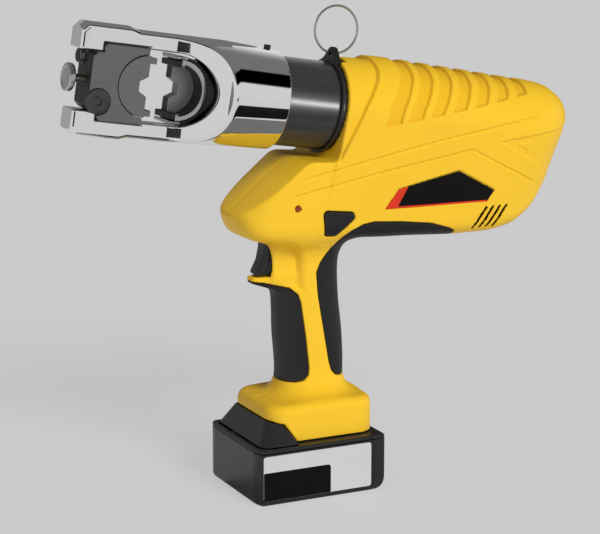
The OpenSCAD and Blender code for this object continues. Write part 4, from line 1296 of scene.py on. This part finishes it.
# Battery
for name, form, low, high, step, body, node in (
    ("battery_box", case_form, (-58, -50, -2), (58, 50, 44), CELL_STEP, "battery", "battery_case"),
    ("battery_deck", lid_form, (-58, -50, 40), (58, 50, 65), CELL_STEP, "battery", "battery_lid"),
    (
        "battery_catch_wedge", latch_form, (-53, -47, 43.5), (-18, 47, 64), CELL_STEP * 0.8,
        "battery_catch", "battery_latch",
    ),
):
    carved(name, form, low, high, step, body, BATTERY, node)
PLATE = [(-51.4, 4.1), (42.1, 4.1), (42.1, 39.9), (-51.4, 39.9)]
INSERT = [(-51.3, 4.2), (6.4, 4.2), (6.4, 26.9), (-51.3, 26.9)]
PLATE_CORNERS = [2.4] * 4
INSERT_CORNERS = [0.8, 0.8, 3, 0.8]
# Depths in Y of the plates' backs and of the faces of plate and insert
PLATE_BACK = 47.2
PLATE_FACE = 47.9
INSERT_FACE = 47.98
for name, outline, corners, face, ease, made, node in (
    ("plate", PLATE, PLATE_CORNERS, PLATE_FACE, 0.15, LABEL_SILVER, "battery_plates"),
    ("mark", INSERT, INSERT_CORNERS, INSERT_FACE, 0.1, INK_BLACK, "battery_plate_inserts"),
):
    for side in (-1, 1):
        edge = round_corners(outline, corners)
        thing = panel(f"battery_{name}_{side + 1}", edge, PLATE_BACK * side, face * side, ease)
        stand_for(thing, "battery", made, node)


# Stage: floor, studio sky and camera
def sheet_of(name, corners, made):
    """A flat four-sided stage piece."""
    mesh = bpy.data.meshes.new(name)
    mesh.from_pydata(corners, [], [(0, 1, 2, 3)])
    thing = placed(name, mesh)
    return dress(thing, made)


def glowing(made, level):
    """Adds an even glow to a finish."""
    white = (1, 1, 1, 1)
    plug(made.node_tree, made.node_tree.nodes["Principled BSDF"], {
        "Emission Color": white,
        "Emission Strength": level,
    })
    return made


def fading(made, low, base, top, power):
    """Lets a glow sink from its level at one height to another level at a greater height."""
    tree = made.node_tree
    shader = tree.nodes["Principled BSDF"]
    where = next(n for n in tree.nodes if n.type == "TEX_COORD").outputs["Object"]
    height = wire(tree, "SeparateXYZ", {"Vector": where}).outputs["Z"]
    part = wire(tree, "MapRange", {"From Min": top, "From Max": base, "Value": height}).outputs["Result"]
    bent = wire(tree, "Math", {0: part, 1: power}, operation="POWER").outputs[0]
    full = shader.inputs["Emission Strength"].default_value
    level = wire(tree, "MapRange", {"To Min": low, "To Max": full, "Value": bent}).outputs["Result"]
    plug(tree, shader, {"Emission Strength": level})


def only_for(thing, receivers):
    """Lets a lamp or a card be seen by the named pieces alone."""
    lit = bpy.data.collections.new(thing.name + "_pieces")
    for receiver in receivers:
        lit.objects.link(receiver)
    thing.light_linking.receiver_collection = lit


def card(name, corners, level):
    """A studio card that shows only as a reflection in bright metal."""
    made = glowing(finish_of(name, (0.002, 0.002, 0.002), 0.9, bump=0.0), level)
    thing = sheet_of(name, corners, made)
    thing.visible_camera = False
    thing.visible_diffuse = False
    thing.visible_shadow = False
    return thing


def studio_sky():
    """Soft boxes and dark flags round the tool, as brightness by direction."""
    world = bpy.data.worlds.new("studio")
    bpy.context.scene.world = world
    world.use_nodes = True
    nodes, links = world.node_tree.nodes, world.node_tree.links
    back = nodes["Background"]
    where = nodes.new("ShaderNodeTexCoord")
    split = nodes.new("ShaderNodeSeparateXYZ")
    links.new(where.outputs["Generated"], split.inputs["Vector"])

    def calc(kind, a, b=None):
        n = nodes.new("ShaderNodeMath")
        n.operation = kind
        for socket, value in zip(n.inputs, (a, b)):
            if value is None:
                continue
            if isinstance(value, (int, float)):
                socket.default_value = value
            else:
                links.new(value, socket)
        return n.outputs[0]

    def edge(value, a, b):
        n = nodes.new("ShaderNodeMapRange")
        n.interpolation_type = "SMOOTHSTEP"
        n.inputs["From Min"].default_value = math.radians(a)
        n.inputs["From Max"].default_value = math.radians(b)
        links.new(value, n.inputs["Value"])
        return n.outputs["Result"]

    rise = calc("ARCSINE", split.outputs["Z"])
    turn = calc("ARCTAN2", split.outputs["X"], calc("MULTIPLY", split.outputs["Y"], -1))

    def window(left, right, low, high, blur):
        sides = [
            calc("MULTIPLY", edge(way, start - blur, start + blur), edge(way, end + blur, end - blur))
            for way, start, end in ((turn, left, right), (rise, low, high))
        ]
        return calc("MULTIPLY", *sides)

    level = calc("ADD", SKY_LEVEL, 0)
    for left, right, low, high, blur, light in SOFT_BOXES:
        mask = window(left, right, low, high, blur)
        rest = calc("MULTIPLY", level, calc("SUBTRACT", 1, mask))
        level = calc("ADD", rest, calc("MULTIPLY", mask, light))
    links.new(level, back.inputs["Strength"])
    back.inputs["Color"].default_value = (1, 1, 1, 1)


def key_light(name, heading, rise, strength, spread):
    """A wide soft lamp far away, which lights surfaces but leaves no glint in bright metal."""
    data = bpy.data.lights.new(name, "SUN")
    data.energy = strength
    data.angle = math.radians(spread)
    thing = placed(name, data)
    turn, lift = math.radians(heading), math.radians(rise)
    away = Vector((math.sin(turn) * math.cos(lift), -math.cos(turn) * math.cos(lift), math.sin(lift)))
    thing.rotation_mode = "QUATERNION"
    thing.rotation_quaternion = away.to_track_quat("Z", "Y")
    thing.visible_glossy = False


def glint_light(name, place, aim, size, power, receivers):
    """A soft box that only the named pieces answer to, for the long glint on the dark cylinder."""
    data = bpy.data.lights.new(name, "AREA")
    data.shape = "RECTANGLE"
    data.size, data.size_y = size
    data.energy = power
    thing = placed(name, data)
    thing.location = place
    thing.rotation_mode = "QUATERNION"
    thing.rotation_quaternion = (Vector(place) - Vector(aim)).to_track_quat("Z", "Y")
    thing.visible_camera = False
    only_for(thing, receivers)


SKY_LEVEL = 0.16
# Left, right, low, high and blurred edge in degrees, then brightness
SOFT_BOXES = [
    (-110, 115, -40, 23, 1, 0.62),
    (-30, 100, 24.5, 44, 0.8, 0.0),
]

# Photograph: frame, focal length in pixels, and the camera's place and aim
SENSOR = 36
FRAME_W = 600
FOCAL = 2050
CAMERA = Vector((-0.6865, -1.4134, 0.5211))
HEADING = math.radians(26)
TILT = math.radians(12.4)


def camera():
    """Camera at the photograph's angle."""
    data = bpy.data.cameras.new("camera")
    data.sensor_width = SENSOR
    data.lens = SENSOR * FOCAL / FRAME_W
    thing = placed("camera", data)
    aim = Vector((math.sin(HEADING) * math.cos(TILT), math.cos(HEADING) * math.cos(TILT), -math.sin(TILT)))
    thing.location = CAMERA
    thing.rotation_mode = "QUATERNION"
    thing.rotation_quaternion = aim.to_track_quat("-Z", "Y")
    bpy.context.scene.camera = thing


# Half the floor's side in metres
FLOOR = 30
paper = finish_of("floor_paper", (0.18, 0.18, 0.18), 0.9, mottle=0.01, mottle_size=0.4, bump=0.0)
sheet_of(
    "floor",
    [(-FLOOR, -FLOOR, 0), (FLOOR, -FLOOR, 0), (FLOOR, FLOOR, 0), (-FLOOR, FLOOR, 0)],
    glowing(paper, level=0.485),
)
# Cards that lie on the floor: height, outline in X and Y, and brightness
for name, height, plan, level in (
    ("floor_flag", 0.001, [(-0.05, -0.28), (0.75, -0.5), (0.6, -0.95), (-0.05, -0.62)], 0),
    ("root_flag", 0.002, [(0.44, -1.86), (3.6, -10.0), (-1.75, -13.5), (-1.1, -4.4)], 0),
    ("grey_floor", 0.0015, [(-0.1, -0.3), (0.45, -0.3), (0.45, 0.02), (-0.1, 0.02)], 0.15),
):
    card(name, [(x, y, height) for x, y in plan], level)
card("end_card", [(-1.6, 0.5, 0.0), (0.1, 1.3, 0.0), (0.1, 1.3, 0.9), (-1.6, 0.5, 0.9)], level=0.32)
back_card = card("back_card", [(0.12, 0.6, 0.0), (3, 0.6, 0.0), (3, 0.6, 2.5), (1.09, 0.6, 2.5)], level=0.67)
fading(back_card.data.materials[0], low=0.155, base=0.77, top=2.5, power=4)
cylinder = frame["nodes"]["hydraulic_cylinder"]
only_for(back_card, [fork, cylinder])
studio_sky()
key_light("key", heading=12, rise=35, strength=2.25, spread=24)
glint_light(
    "glint", place=(0.85, -1.75, 0.35), aim=(0.0, 0.0, 0.29), size=(1.6, 0.25), power=26,
    receivers=[cylinder],
)
camera()
bpy.context.scene.view_settings.view_transform = "Standard"
